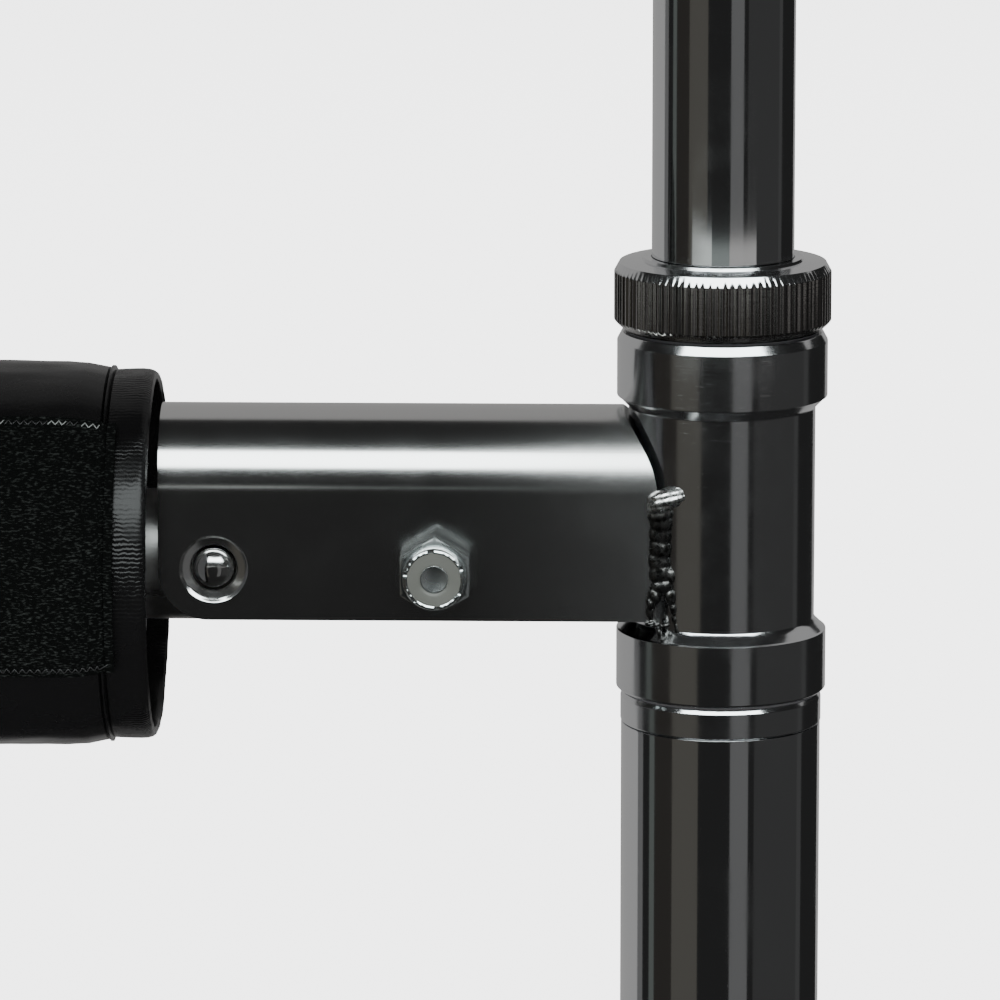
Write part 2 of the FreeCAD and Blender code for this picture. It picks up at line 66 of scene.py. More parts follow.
def cut_on_lathe(name, stations, segments=192, solid=False, edge=0.25 * mm):
    """Turn a piece about the post's axis from rings of radius and height, and break its sharp edges."""
    bpy.ops.object.select_all(action="DESELECT")
    radius, height = stations[0]
    bpy.ops.mesh.primitive_circle_add(vertices=segments, radius=radius, location=(0, 0, height))
    piece = bpy.context.object
    piece.name = piece.data.name = name
    bpy.ops.object.transform_apply(location=True, rotation=True, scale=True)
    bpy.ops.object.mode_set(mode="EDIT")
    bpy.ops.mesh.select_all(action="SELECT")
    if solid:
        bpy.ops.mesh.edge_face_add()
    path = stations[1:] if solid else stations[1:] + stations[:1]
    for next_radius, next_height in path:
        rise = (0, 0, next_height - height)
        bpy.ops.mesh.extrude_region_move(TRANSFORM_OT_translate={"value": rise})
        grow = next_radius / radius
        bpy.ops.transform.resize(value=(grow, grow, 1), center_override=(0, 0, next_height))
        radius, height = next_radius, next_height
    bpy.ops.mesh.select_all(action="SELECT")
    bpy.ops.mesh.remove_doubles(threshold=0.001 * mm)
    bpy.ops.mesh.normals_make_consistent(inside=False)
    bpy.ops.object.mode_set(mode="OBJECT")
    break_edges(piece, edge)
    return piece


def apply_modifier(piece, kind, **settings):
    """Add one modifier to a piece with its settings, and apply it."""
    bpy.ops.object.select_all(action="DESELECT")
    bpy.context.view_layer.objects.active = piece
    piece.select_set(True)
    modifier = piece.modifiers.new(kind.title(), kind)
    for key, value in settings.items():
        setattr(modifier, key, value)
    bpy.ops.object.modifier_apply(modifier=modifier.name)


def break_edges(piece, width, segments=2):
    """Round a piece's sharp edges by a small width and shade it smooth between them."""
    if width:
        apply_modifier(
            piece, "BEVEL", width=width, segments=segments, limit_method="ANGLE",
            angle_limit=math.radians(20), harden_normals=False, use_clamp_overlap=True,
        )
    bpy.ops.object.select_all(action="DESELECT")
    bpy.context.view_layer.objects.active = piece
    piece.select_set(True)
    bpy.ops.object.shade_smooth_by_angle(angle=math.radians(24))
    apply_modifier(piece, "WEIGHTED_NORMAL", keep_sharp=True, weight=80)


def new_material(name, colour, roughness, metallic=0.0):
    """Start a material with its shader's plain values, and hand back its node tree and shader."""
    material = bpy.data.materials.new(name)
    material.use_nodes = True
    shader = material.node_tree.nodes["Principled BSDF"]
    shader.inputs["Base Color"].default_value = (*colour, 1)
    shader.inputs["Roughness"].default_value = roughness
    shader.inputs["Metallic"].default_value = metallic
    return material, material.node_tree, shader


def start_group(name, inputs, outputs):
    """Start a shader node group with named value inputs and named outputs."""
    group = bpy.data.node_groups.new(name, "ShaderNodeTree")
    for label, value in inputs.items():
        socket = group.interface.new_socket(label, in_out="INPUT", socket_type="NodeSocketFloat")
        socket.default_value = value
    for label, kind in outputs.items():
        group.interface.new_socket(label, in_out="OUTPUT", socket_type=kind)
    return group, group.nodes.new("NodeGroupInput"), group.nodes.new("NodeGroupOutput")


def object_noise(tree, stretch, scale, detail=3.0, turn=(0, 0, 0)):
    """Add a noise on object coordinates, stretched per axis, and hand back its node."""
    place = tree.nodes.new("ShaderNodeTexCoord")
    mapping = tree.nodes.new("ShaderNodeMapping")
    noise = tree.nodes.new("ShaderNodeTexNoise")
    mapping.inputs["Scale"].default_value = stretch
    mapping.inputs["Rotation"].default_value = turn
    noise.inputs["Scale"].default_value = scale
    noise.inputs["Detail"].default_value = detail
    tree.links.new(place.outputs["Object"], mapping.inputs["Vector"])
    tree.links.new(mapping.outputs["Vector"], noise.inputs["Vector"])
    return noise


def ramp(tree, source, low, high, low_value, high_value):
    """Remap a noise value between two limits to a range of values."""
    remap = tree.nodes.new("ShaderNodeMapRange")
    remap.inputs["From Min"].default_value = low
    remap.inputs["From Max"].default_value = high
    remap.inputs["To Min"].default_value = low_value
    remap.inputs["To Max"].default_value = high_value
    tree.links.new(source, remap.inputs["Value"])
    return remap


def make_handled_plate_group():
    """Handled plating: smudged gloss, a few hair scratches and the faint waviness of the metal."""
    group, given, result = start_group(
        "handled_plate",
        {"Gloss": 0.08, "Smudge": 0.1, "Scratch Depth": 0.15},
        {"Roughness": "NodeSocketFloat", "Normal": "NodeSocketVector"},
    )
    smudge = object_noise(group, (1, 1, 1), 55, 4)
    spread = ramp(group, smudge.outputs["Fac"], 0.48, 0.75, 0.0, 1.0)
    amount = group.nodes.new("ShaderNodeMath")
    amount.operation = "MULTIPLY_ADD"
    group.links.new(spread.outputs["Result"], amount.inputs[0])
    group.links.new(given.outputs["Smudge"], amount.inputs[1])
    group.links.new(given.outputs["Gloss"], amount.inputs[2])
    group.links.new(amount.outputs["Value"], result.inputs["Roughness"])
    hair = object_noise(group, (6, 6, 1), 330, 2, turn=(0.5, 0.3, 0.2))
    fine = ramp(group, hair.outputs["Fac"], 0.69, 0.72, 0.0, -0.2)
    wave = object_noise(group, (1, 1, 1), 90, 1)
    total = group.nodes.new("ShaderNodeMath")
    total.operation = "ADD"
    group.links.new(fine.outputs["Result"], total.inputs[0])
    group.links.new(wave.outputs["Fac"], total.inputs[1])
    bump = group.nodes.new("ShaderNodeBump")
    bump.inputs["Distance"].default_value = 0.02 * mm
    group.links.new(given.outputs["Scratch Depth"], bump.inputs["Strength"])
    group.links.new(total.outputs["Value"], bump.inputs["Height"])
    group.links.new(bump.outputs["Normal"], result.inputs["Normal"])
    return group


def use_group(tree, shader, group, **values):
    """Place a node group in a material and feed each of its outputs to the socket of that name."""
    node = tree.nodes.new("ShaderNodeGroup")
    node.node_tree = group
    for label, value in values.items():
        node.inputs[label.replace("_", " ").title()].default_value = value
    for output in node.outputs:
        tree.links.new(output, shader.inputs[output.name])
    return node


handled_plate = make_handled_plate_group()
post_chrome, tree, shader = new_material("post_chrome", (0.74, 0.75, 0.76), 0.06, 1.0)
use_group(tree, shader, handled_plate, gloss=0.07, smudge=0.1, scratch_depth=0.2)

post_radius = post_high.x
post_wall = 2.0 * mm
lower_post = cut_on_lathe("lower_post_tube", [
    (post_radius - post_wall, post_low.z),
    (post_radius, post_low.z),
    (post_radius, post_top),
    (post_radius - post_wall, post_top),
])
lower_post.data.materials.append(post_chrome)
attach(lower_post, "post")
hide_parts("lower_post")

# ---------------------------------------------------------------------------------------------------
# Foot plug: a moulded plastic plug pushed into the open lower end of the post, with a ribbed skirt
# that grips the tube and a shallow moulded dish in its face.
# ---------------------------------------------------------------------------------------------------


def make_moulded_grain_group():
    """Fine spark-eroded grain of a plastic moulding, with slightly rubbed high spots."""
    group, given, result = start_group(
        "moulded_grain",
        {"Grain Scale": 2600.0, "Grain Depth": 0.4},
        {"Roughness": "NodeSocketFloat", "Normal": "NodeSocketVector"},
    )
    grain = object_noise(group, (1, 1, 1), 1, 3)
    group.links.new(given.outputs["Grain Scale"], grain.inputs["Scale"])
    rub = object_noise(group, (1, 1, 1), 140, 3)
    shine = ramp(group, rub.outputs["Fac"], 0.4, 0.7, 0.52, 0.36)
    group.links.new(shine.outputs["Result"], result.inputs["Roughness"])
    bump = group.nodes.new("ShaderNodeBump")
    bump.inputs["Distance"].default_value = 0.04 * mm
    group.links.new(given.outputs["Grain Depth"], bump.inputs["Strength"])
    group.links.new(grain.outputs["Fac"], bump.inputs["Height"])
    group.links.new(bump.outputs["Normal"], result.inputs["Normal"])
    return group


moulded_grain = make_moulded_grain_group()
black_plastic, tree, shader = new_material("black_plastic", (0.018, 0.018, 0.02), 0.45)
use_group(tree, shader, moulded_grain, grain_scale=2600.0, grain_depth=0.4)

plug_low, plug_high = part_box("post_foot_plug")
plug_radius = plug_high.x
dish_depth = 1.2 * mm
rib_pitch = 3.0 * mm
rib_height = 0.35 * mm
skirt = []
for step in range(4):
    foot = plug_low.z + 1.5 * mm + step * rib_pitch
    skirt += [(plug_radius, foot), (plug_radius, foot + 0.9 * mm)]
    skirt += [(plug_radius - rib_height, foot + 1.2 * mm), (plug_radius - rib_height, foot + 2.6 * mm)]
foot_plug = cut_on_lathe("foot_plug", [
    (plug_radius - 5.0 * mm, plug_low.z + dish_depth),
    (plug_radius - 3.2 * mm, plug_low.z),
    (plug_radius, plug_low.z),
    *skirt,
    (plug_radius - 2.5 * mm, plug_high.z),
    (plug_radius - 2.5 * mm, plug_low.z + 2.5 * mm),
], solid=True, edge=0.15 * mm)
foot_plug.data.materials.append(black_plastic)
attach(foot_plug, "post")
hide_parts("post_foot_plug")

# ---------------------------------------------------------------------------------------------------
# Top bush: a steel bush turned from bar and pressed into the post. Its flange stands on the tube's
# end with a fine joint line under it, and its plating shows the lathe's feed marks.
# ---------------------------------------------------------------------------------------------------


def make_lathe_mark_group():
    """Feed marks of a lathe under plating: fine rings round the axis, with scattered torn specks."""
    group, given, result = start_group(
        "lathe_marks",
        {"Gloss": 0.12, "Mark Depth": 0.3, "Speck Depth": 0.3},
        {"Roughness": "NodeSocketFloat", "Normal": "NodeSocketVector"},
    )
    rings = object_noise(group, (0.02, 0.02, 1), 5200, 2)
    short = object_noise(group, (0.12, 0.12, 1), 2600, 2)
    specks = ramp(group, short.outputs["Fac"], 0.62, 0.72, 0.0, 1.0)
    smudge = object_noise(group, (1, 1, 1), 110, 3)
    haze = ramp(group, smudge.outputs["Fac"], 0.45, 0.7, 0.0, 0.07)
    gloss = group.nodes.new("ShaderNodeMath")
    gloss.operation = "ADD"
    group.links.new(given.outputs["Gloss"], gloss.inputs[0])
    group.links.new(haze.outputs["Result"], gloss.inputs[1])
    group.links.new(gloss.outputs["Value"], result.inputs["Roughness"])
    feed = group.nodes.new("ShaderNodeBump")
    feed.inputs["Distance"].default_value = 0.012 * mm
    group.links.new(given.outputs["Mark Depth"], feed.inputs["Strength"])
    group.links.new(rings.outputs["Fac"], feed.inputs["Height"])
    torn = group.nodes.new("ShaderNodeBump")
    torn.inputs["Distance"].default_value = 0.03 * mm
    group.links.new(given.outputs["Speck Depth"], torn.inputs["Strength"])
    group.links.new(specks.outputs["Result"], torn.inputs["Height"])
    group.links.new(feed.outputs["Normal"], torn.inputs["Normal"])
    group.links.new(torn.outputs["Normal"], result.inputs["Normal"])
    return group


lathe_marks = make_lathe_mark_group()
turned_chrome, tree, shader = new_material("turned_chrome", (0.70, 0.71, 0.72), 0.12, 1.0)
use_group(tree, shader, lathe_marks, gloss=0.12, mark_depth=0.25, speck_depth=0.14)

bush_low, bush_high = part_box("post_top_bush")
journal = 13.05 * mm
flange_radius = post_radius + 0.12 * mm
top_bush = cut_on_lathe("top_bush", [
    (journal, bush_low.z),
    (post_radius - post_wall - 0.05 * mm, bush_low.z),
    (post_radius - post_wall - 0.05 * mm, post_top + 0.05 * mm),
    (flange_radius - 0.35 * mm, post_top + 0.05 * mm),
    (flange_radius, post_top + 0.4 * mm),
    (flange_radius, bush_high.z - 0.95 * mm),
    (flange_radius - 0.55 * mm, bush_high.z),
    (journal, bush_high.z),
], edge=0.12 * mm)
top_bush.data.materials.append(turned_chrome)
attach(top_bush, "post")
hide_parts("post_top_bush")

# ---------------------------------------------------------------------------------------------------
# Upper shaft: a ground and plated steel tube, fixed in the bush. Its lower part is the journal that
# the hub turns on, and its full size begins just above the knurled ring.
# ---------------------------------------------------------------------------------------------------
shaft_low, shaft_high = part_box("upper_shaft")
shaft_radius = shaft_high.x
shaft_bore = 11.0 * mm
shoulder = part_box("knurled_ring")[1].z + 0.1 * mm
upper_shaft = cut_on_lathe("shaft", [
    (shaft_bore, shaft_low.z),
    (journal - 0.05 * mm, shaft_low.z),
    (journal - 0.05 * mm, shoulder),
    (shaft_radius, shoulder),
    (shaft_radius, shaft_high.z),
    (shaft_bore, shaft_high.z),
], edge=0.05 * mm)
upper_shaft.data.materials.append(post_chrome)
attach(upper_shaft, "post")
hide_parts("upper_shaft")

# ---------------------------------------------------------------------------------------------------
# Shaft plug: a moulded plastic plug in the shaft's open top, with a low crowned head.
# ---------------------------------------------------------------------------------------------------
crown_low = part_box("shaft_top_plug")[0]
crown_radius = 12.6 * mm
crown_rise = 2.4 * mm
crown = []
for step in range(1, 9):
    share = step / 9
    crown.append((
        crown_radius * math.cos(share * math.pi / 2),
        shaft_high.z + crown_rise * math.sin(share * math.pi / 2),
    ))
shaft_plug = cut_on_lathe("shaft_plug", [
    (shaft_bore - 2.0 * mm, crown_low.z),
    (shaft_bore - 0.05 * mm, crown_low.z + 1.0 * mm),
    (shaft_bore - 0.05 * mm, shaft_high.z + 0.05 * mm),
    (crown_radius, shaft_high.z + 0.05 * mm),
    *crown,
], segments=128, solid=True, edge=0)
shaft_plug.data.materials.append(black_plastic)
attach(shaft_plug, "post")
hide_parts("shaft_top_plug")

# ---------------------------------------------------------------------------------------------------
# Washers, collar and hub bushes: a nylon thrust washer under the hub, the screwed collar inside the
# ring, the ring's friction washer, and two bronze bushes. They keep their CAD shapes.
# ---------------------------------------------------------------------------------------------------
black_nylon, tree, shader = new_material("black_nylon", (0.025, 0.025, 0.027), 0.4)
use_group(tree, shader, moulded_grain, grain_scale=1500.0, grain_depth=0.25)

bronze, tree, shader = new_material("bronze_bush", (0.42, 0.27, 0.12), 0.4, 1.0)
pores = object_noise(tree, (1, 1, 1), 2400, 4)
tone = tree.nodes.new("ShaderNodeValToRGB")
tone.color_ramp.elements[0].color = (0.16, 0.09, 0.04, 1)
tone.color_ramp.elements[0].position = 0.38
tone.color_ramp.elements[1].color = (0.5, 0.33, 0.16, 1)
tone.color_ramp.elements[1].position = 0.6
tree.links.new(pores.outputs["Fac"], tone.inputs["Fac"])
tree.links.new(tone.outputs["Color"], shader.inputs["Base Color"])

zinc, tree, shader = new_material("zinc_hardware", (0.66, 0.70, 0.70), 0.2, 1.0)
use_group(tree, shader, handled_plate, gloss=0.16, smudge=0.25, scratch_depth=0.9)


def dress_cad_node(node, material):
    """Give a CAD node that keeps its own shape a finished material."""
    nodes[node].data.materials.clear()
    nodes[node].data.materials.append(material)


for node, material in (
    ("thrust_washer", black_nylon),
    ("ring_washer", black_nylon),
    ("thread_collar", zinc),
    ("hub_bush_lower", bronze),
    ("hub_bush_upper", bronze),
):
    dress_cad_node(node, material)

# ---------------------------------------------------------------------------------------------------
# Swivel hub: turned from solid bar, with a full-size band at each end and a reduced barrel between
# them for the bracket. Each band slopes down to the barrel, and the upper one is chamfered on top.
# ---------------------------------------------------------------------------------------------------
hub_low, hub_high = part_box("swivel_hub")
band_radius = hub_high.x
barrel_radius = 17.75 * mm
hub_bore = 14.8 * mm
low_band_top = post_top + 18.2 * mm
barrel_bottom = post_top + 20.4 * mm
barrel_top = post_top + 61.2 * mm
top_band_bottom = post_top + 63.3 * mm
hub = cut_on_lathe("hub", [
    (hub_bore, hub_low.z),
    (band_radius - 0.5 * mm, hub_low.z),
    (band_radius, hub_low.z + 0.5 * mm),
    (band_radius, low_band_top),
    (band_radius - 0.3 * mm, low_band_top + 0.1 * mm),
    (barrel_radius + 0.55 * mm, barrel_bottom - 0.75 * mm),
    (barrel_radius, barrel_bottom),
    (barrel_radius, barrel_top),
    (band_radius - 0.35 * mm, top_band_bottom - 0.12 * mm),
    (band_radius, top_band_bottom),
    (band_radius, hub_high.z - 1.7 * mm),
    (band_radius - 0.92 * mm, hub_high.z),
    (hub_bore, hub_high.z),
], segments=256, edge=0.14 * mm)
hub.data.materials.append(turned_chrome)
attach(hub, "hub")
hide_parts("swivel_hub")

# ---------------------------------------------------------------------------------------------------
# Knurled ring: a turned lock ring with straight rolled knurling round its rim for the fingers. Its
# top falls away gently from a small raised lip that closes on the shaft.
# ---------------------------------------------------------------------------------------------------
ring_low, ring_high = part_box("knurled_ring")
ring_radius = ring_high.x
teeth = 93
knurl_depth = 0.32 * mm
low_chamfer = 1.8 * mm
top_chamfer = 1.8 * mm
chamfer_run = 0.98 * mm
rim_top = ring_high.z - 1.0 * mm
knurl_low = ring_low.z + low_chamfer
knurl_high = rim_top - top_chamfer
ring = cut_on_lathe("lock_ring", [
    (16.3 * mm, ring_low.z),
    (ring_radius - low_chamfer, ring_low.z),
    (ring_radius - knurl_depth - 0.1 * mm, knurl_low - 0.5 * mm),
    (ring_radius, knurl_low),
    (ring_radius, knurl_high),
    (ring_radius - chamfer_run * 0.25, knurl_high + top_chamfer * 0.25),
    (ring_radius - chamfer_run, rim_top),
    (15.3 * mm, ring_high.z - 0.55 * mm),
    (15.1 * mm, ring_high.z),
    (13.6 * mm, ring_high.z),
    (13.6 * mm, ring_high.z - 4.2 * mm),
    (16.3 * mm, ring_high.z - 4.2 * mm),
], segments=teeth * 6, edge=0)


def roll_knurling(piece, low, high, depth):
    """Press a valley between every two teeth into the ring's rim."""
    bpy.ops.object.mode_set(mode="EDIT")
    mesh = bmesh.from_edit_mesh(piece.data)
    pitch = 2 * math.pi / teeth
    for share, flank in ((0, 1.0), (1, 0.72), (5, 0.72)):
        bpy.ops.mesh.select_all(action="DESELECT")
        for vertex in mesh.verts:
            place = vertex.co
            on_wall = place.xy.length > ring_radius - 0.01 * mm
            on_rim = low - 0.01 * mm < place.z < high + 0.01 * mm and on_wall
            step = round(math.atan2(place.y, place.x) / (pitch / 6)) % 6
            vertex.select = on_rim and step == share
        mesh.select_flush(True)
        bmesh.update_edit_mesh(piece.data)
        shrink = 1 - depth * flank / ring_radius
        bpy.ops.transform.resize(value=(shrink, shrink, 1), center_override=(0, 0, low))
        mesh = bmesh.from_edit_mesh(piece.data)
    bpy.ops.object.mode_set(mode="OBJECT")


roll_knurling(ring, knurl_low, knurl_high, knurl_depth)
bpy.ops.object.shade_smooth_by_angle(angle=math.radians(24))
apply_modifier(ring, "WEIGHTED_NORMAL", keep_sharp=True, weight=80)

# The knurled rim gets a darker base colour than the plain chrome above it: painted shade in the knurl's
# grooves, faded out over height just above the knurl.
knurled_chrome, tree, shader = new_material("knurled_chrome", (0.70, 0.71, 0.72), 0.12, 1.0)
use_group(tree, shader, lathe_marks, gloss=0.12, mark_depth=0.25, speck_depth=0.14)
place = tree.nodes.new("ShaderNodeTexCoord")
axes = tree.nodes.new("ShaderNodeSeparateXYZ")
tree.links.new(place.outputs["Object"], axes.inputs["Vector"])
painted_shade_mask = ramp(tree, axes.outputs["Z"], knurl_high, knurl_high + 0.2 * mm, 0.0, 1.0)
knurl_painted_shade = tree.nodes.new("ShaderNodeMix")
knurl_painted_shade.data_type = "RGBA"
knurl_painted_shade.inputs["A"].default_value = (0.33, 0.32, 0.31, 1)
knurl_painted_shade.inputs["B"].default_value = (0.70, 0.71, 0.72, 1)
tree.links.new(painted_shade_mask.outputs["Result"], knurl_painted_shade.inputs["Factor"])
tree.links.new(knurl_painted_shade.outputs["Result"], shader.inputs["Base Color"])
ring.data.materials.append(knurled_chrome)
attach(ring, "ring")
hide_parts("knurled_ring")

# ---------------------------------------------------------------------------------------------------
# Channel bracket: a strip of sheet steel folded over a round former into a channel that is open
# below, coped to the hub, drilled and dimpled, then plated; the heat of welding dulled the hub end.
# ---------------------------------------------------------------------------------------------------
channel_low, channel_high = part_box("channel_bracket")
channel_half = channel_high.y
sheet = 2.0 * mm
spring_line = channel_high.z - channel_half
cope_radius = 19.1 * mm
corner_radius = 9.5 * mm
pivot = Vector(next(joint["pos_m"] for joint in frame["joints"] if joint["name"] == "arm_fold"))
button_low, button_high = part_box("snap_button")
button_centre = Vector(((button_low.x + button_high.x) / 2, 0, pivot.z))


def fold_channel():
    """Fold the sheet: half a tube along X, its two lower edges drawn down into the sides."""
    bpy.ops.object.select_all(action="DESELECT")
    length = -channel_low.x
    bpy.ops.mesh.primitive_cylinder_add(
        vertices=192, radius=channel_half, depth=length, end_fill_type="NOTHING",
        location=(-length / 2, 0, spring_line), rotation=(0, math.pi / 2, 0),
    )
    piece = bpy.context.object
    piece.name = piece.data.name = "channel"
    bpy.ops.object.transform_apply(location=True, rotation=True, scale=True)
    bpy.ops.object.mode_set(mode="EDIT")
    mesh = bmesh.from_edit_mesh(piece.data)
    for face in mesh.faces:
        face.select = face.calc_center_median().z < spring_line
    bmesh.update_edit_mesh(piece.data)
    bpy.ops.mesh.delete(type="FACE")
    mesh = bmesh.from_edit_mesh(piece.data)
    bpy.ops.mesh.select_all(action="DESELECT")
    for edge in mesh.edges:
        along = abs(edge.verts[0].co.x - edge.verts[1].co.x) > length / 2
        if along and edge.is_boundary:
            edge.select = True
    bmesh.update_edit_mesh(piece.data)
    bpy.ops.mesh.extrude_region_move(TRANSFORM_OT_translate={"value": (0, 0, channel_low.z - spring_line)})
    bpy.ops.mesh.select_all(action="SELECT")
    bpy.ops.mesh.normals_make_consistent(inside=False)
    bpy.ops.object.mode_set(mode="OBJECT")
    return piece


def lay_across(piece, centre):
    """Turn a piece made about the post's axis so that its axis runs out towards -Y from a centre."""
    bpy.ops.object.select_all(action="DESELECT")
    bpy.context.view_layer.objects.active = piece
    piece.select_set(True)
    piece.rotation_euler = (math.pi / 2, 0, 0)
    piece.location = centre
    bpy.ops.object.transform_apply(location=True, rotation=True, scale=True)
    return piece


def bore_out(piece, tool):
    """Cut a tool's shape out of a piece and throw the tool away."""
    apply_modifier(piece, "BOOLEAN", object=tool, operation="DIFFERENCE", solver="EXACT")
    bpy.data.objects.remove(tool)


def corner_tool():
    """Make the waste piece at the channel's lower outer corners, with the round inside it left standing."""
    bpy.ops.object.select_all(action="DESELECT")
    size = corner_radius * 2
    centre = (channel_low.x, 0, channel_low.z)
    bpy.ops.mesh.primitive_cube_add(size=1, location=centre, scale=(size, 0.05, size))
    block = bpy.context.object
    bpy.ops.object.transform_apply(location=True, rotation=True, scale=True)
    round_centre = (channel_low.x + corner_radius, 0, channel_low.z + corner_radius)
    bpy.ops.mesh.primitive_cylinder_add(
        vertices=128, radius=corner_radius, depth=0.06, location=round_centre, rotation=(math.pi / 2, 0, 0))
    keep = bpy.context.object
    bpy.ops.object.transform_apply(location=True, rotation=True, scale=True)
    bore_out(block, keep)
    return block


channel = fold_channel()
apply_modifier(channel, "SOLIDIFY", thickness=sheet, offset=-1, use_even_offset=True)
cope = cut_on_lathe("cope_cutter", [
    (cope_radius, channel_low.z - 5 * mm),
    (cope_radius, channel_high.z + 5 * mm),
], segments=256, solid=True, edge=0)
bore_out(channel, cope)
bore_out(channel, corner_tool())
bolt_drill = cut_on_lathe("bolt_drill", [
    (4.05 * mm, -30 * mm),
    (4.05 * mm, 30 * mm),
], segments=64, solid=True, edge=0)
bore_out(channel, lay_across(bolt_drill, pivot))
dimple_punch = cut_on_lathe("dimple_punch", [
    (4.3 * mm, 5 * mm),
    (4.3 * mm, channel_half - 1.3 * mm),
    (4.6 * mm, channel_half - 0.8 * mm),
    (5.3 * mm, channel_half - 0.62 * mm),
    (5.9 * mm, channel_half - 0.47 * mm),
    (6.25 * mm, channel_half - 0.2 * mm),
    (6.6 * mm, channel_half + 0.05 * mm),
    (6.6 * mm, channel_half + 3 * mm),
], segments=96, solid=True, edge=0)
bore_out(channel, lay_across(dimple_punch, button_centre))
break_edges(channel, 0.22 * mm)

bracket_plate, tree, shader = new_material("bracket_plate", (0.66, 0.66, 0.655), 0.2, 1.0)
plate = use_group(tree, shader, handled_plate, gloss=0.15, smudge=0.03, scratch_depth=0.4)
place = tree.nodes.new("ShaderNodeTexCoord")
axes = tree.nodes.new("ShaderNodeSeparateXYZ")
tree.links.new(place.outputs["Object"], axes.inputs["Vector"])
scorch = ramp(tree, axes.outputs["X"], pivot.x, channel_high.x, 0.0, 0.11)
duller = tree.nodes.new("ShaderNodeMath")
duller.operation = "ADD"
tree.links.new(plate.outputs["Roughness"], duller.inputs[0])
tree.links.new(scorch.outputs["Result"], duller.inputs[1])
tree.links.new(duller.outputs["Value"], shader.inputs["Roughness"])
channel.data.materials.append(bracket_plate)
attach(channel, "hub")
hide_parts("channel_bracket")

# ---------------------------------------------------------------------------------------------------
# Weld beads: one run down each side where the channel's coped edge meets the hub's barrel. Each was
# started with a heavy blob, laid in overlapping ripples and broken off raggedly, then plated over.
# ---------------------------------------------------------------------------------------------------
weld_metal, tree, shader = new_material("weld_metal", (0.42, 0.42, 0.41), 0.3, 1.0)
slag = object_noise(tree, (1, 1, 1), 700, 4)
tone = tree.nodes.new("ShaderNodeValToRGB")
tone.color_ramp.elements[0].color = (0.03, 0.028, 0.026, 1)
tone.color_ramp.elements[0].position = 0.36
tone.color_ramp.elements[1].color = (0.62, 0.62, 0.61, 1)
tone.color_ramp.elements[1].position = 0.5
tree.links.new(slag.outputs["Fac"], tone.inputs["Fac"])
weld_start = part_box("bracket_weld_near")[1].z
place = tree.nodes.new("ShaderNodeTexCoord")
axes = tree.nodes.new("ShaderNodeSeparateXYZ")
tree.links.new(place.outputs["Object"], axes.inputs["Vector"])
# Below its top few millimetres the bead's base colour fades to near black: painted shade under the bead's lit
# top.
painted_shade_mask = ramp(tree, axes.outputs["Z"], weld_start - 5.2 * mm, weld_start - 3.6 * mm, 0.16, 1.0)
bead_painted_shade_mix = tree.nodes.new("ShaderNodeMix")
bead_painted_shade_mix.data_type = "RGBA"
bead_painted_shade_mix.inputs["A"].default_value = (0.012, 0.011, 0.01, 1)
tree.links.new(painted_shade_mask.outputs["Result"], bead_painted_shade_mix.inputs["Factor"])
tree.links.new(tone.outputs["Color"], bead_painted_shade_mix.inputs["B"])
tree.links.new(bead_painted_shade_mix.outputs["Result"], shader.inputs["Base Color"])
rough = ramp(tree, slag.outputs["Fac"], 0.35, 0.65, 0.5, 0.16)
tree.links.new(rough.outputs["Result"], shader.inputs["Roughness"])
pits = object_noise(tree, (1, 1, 1), 1900, 3)
bump = tree.nodes.new("ShaderNodeBump")
bump.inputs["Distance"].default_value = 0.08 * mm
bump.inputs["Strength"].default_value = 0.35
tree.links.new(pits.outputs["Fac"], bump.inputs["Height"])
tree.links.new(bump.outputs["Normal"], shader.inputs["Normal"])

# Each drop of a bead: how far down it lies, how far along X and out from the sheet, and its half sizes,
# in millimetres.
WELD_DROPS = (
    (1.0, 0.9, 0.2, 3.8, 1.9, 1.5),
    (1.9, 0.9, 0.45, 3.9, 2.0, 1.2),
    (3.0, 0.2, 0.4, 3.2, 1.8, 1.0),
    (4.7, -0.6, 0.0, 2.3, 1.4, 1.5),
    (6.4, -0.4, -0.1, 2.0, 1.2, 1.9),
    (8.6, -0.6, -0.2, 1.9, 1.1, 2.6),
    (11.2, -0.6, -0.2, 1.9, 1.1, 2.6),
    (13.8, -0.7, -0.2, 1.9, 1.0, 2.5),
    (16.2, -0.4, -0.1, 2.1, 1.1, 2.2),
    (16.6, 1.6, -0.2, 1.3, 0.9, 1.6),
    (18.6, -0.1, -0.1, 2.2, 1.2, 1.8),
    (20.4, -1.4, 0.1, 1.3, 1.2, 1.6),
    (21.8, -2.1, 0.1, 0.9, 1.2, 1.6),
    (23.6, -2.3, 0.0, 0.7, 1.0, 1.5),
    (20.6, 1.5, 0.0, 1.0, 1.1, 1.7),
    (22.6, 2.1, -0.1, 0.8, 1.0, 1.8),
    (24.8, 2.5, -0.3, 0.7, 0.9, 1.8),
    (27.0, 3.0, 0.0, 0.7, 0.9, 1.8),
    (28.9, 3.7, 0.2, 0.9, 0.9, 0.9),
    (25.6, -2.2, 0.0, 1.1, 1.1, 0.6),
    (26.0, -1.1, -0.2, 0.9, 1.0, 0.7),
    (27.4, -0.5, -0.4, 0.6, 0.8, 1.4),
    (29.2, -0.2, -0.5, 0.5, 0.7, 1.2),
    (26.2, 0.7, -0.5, 0.8, 0.6, 0.6),
)


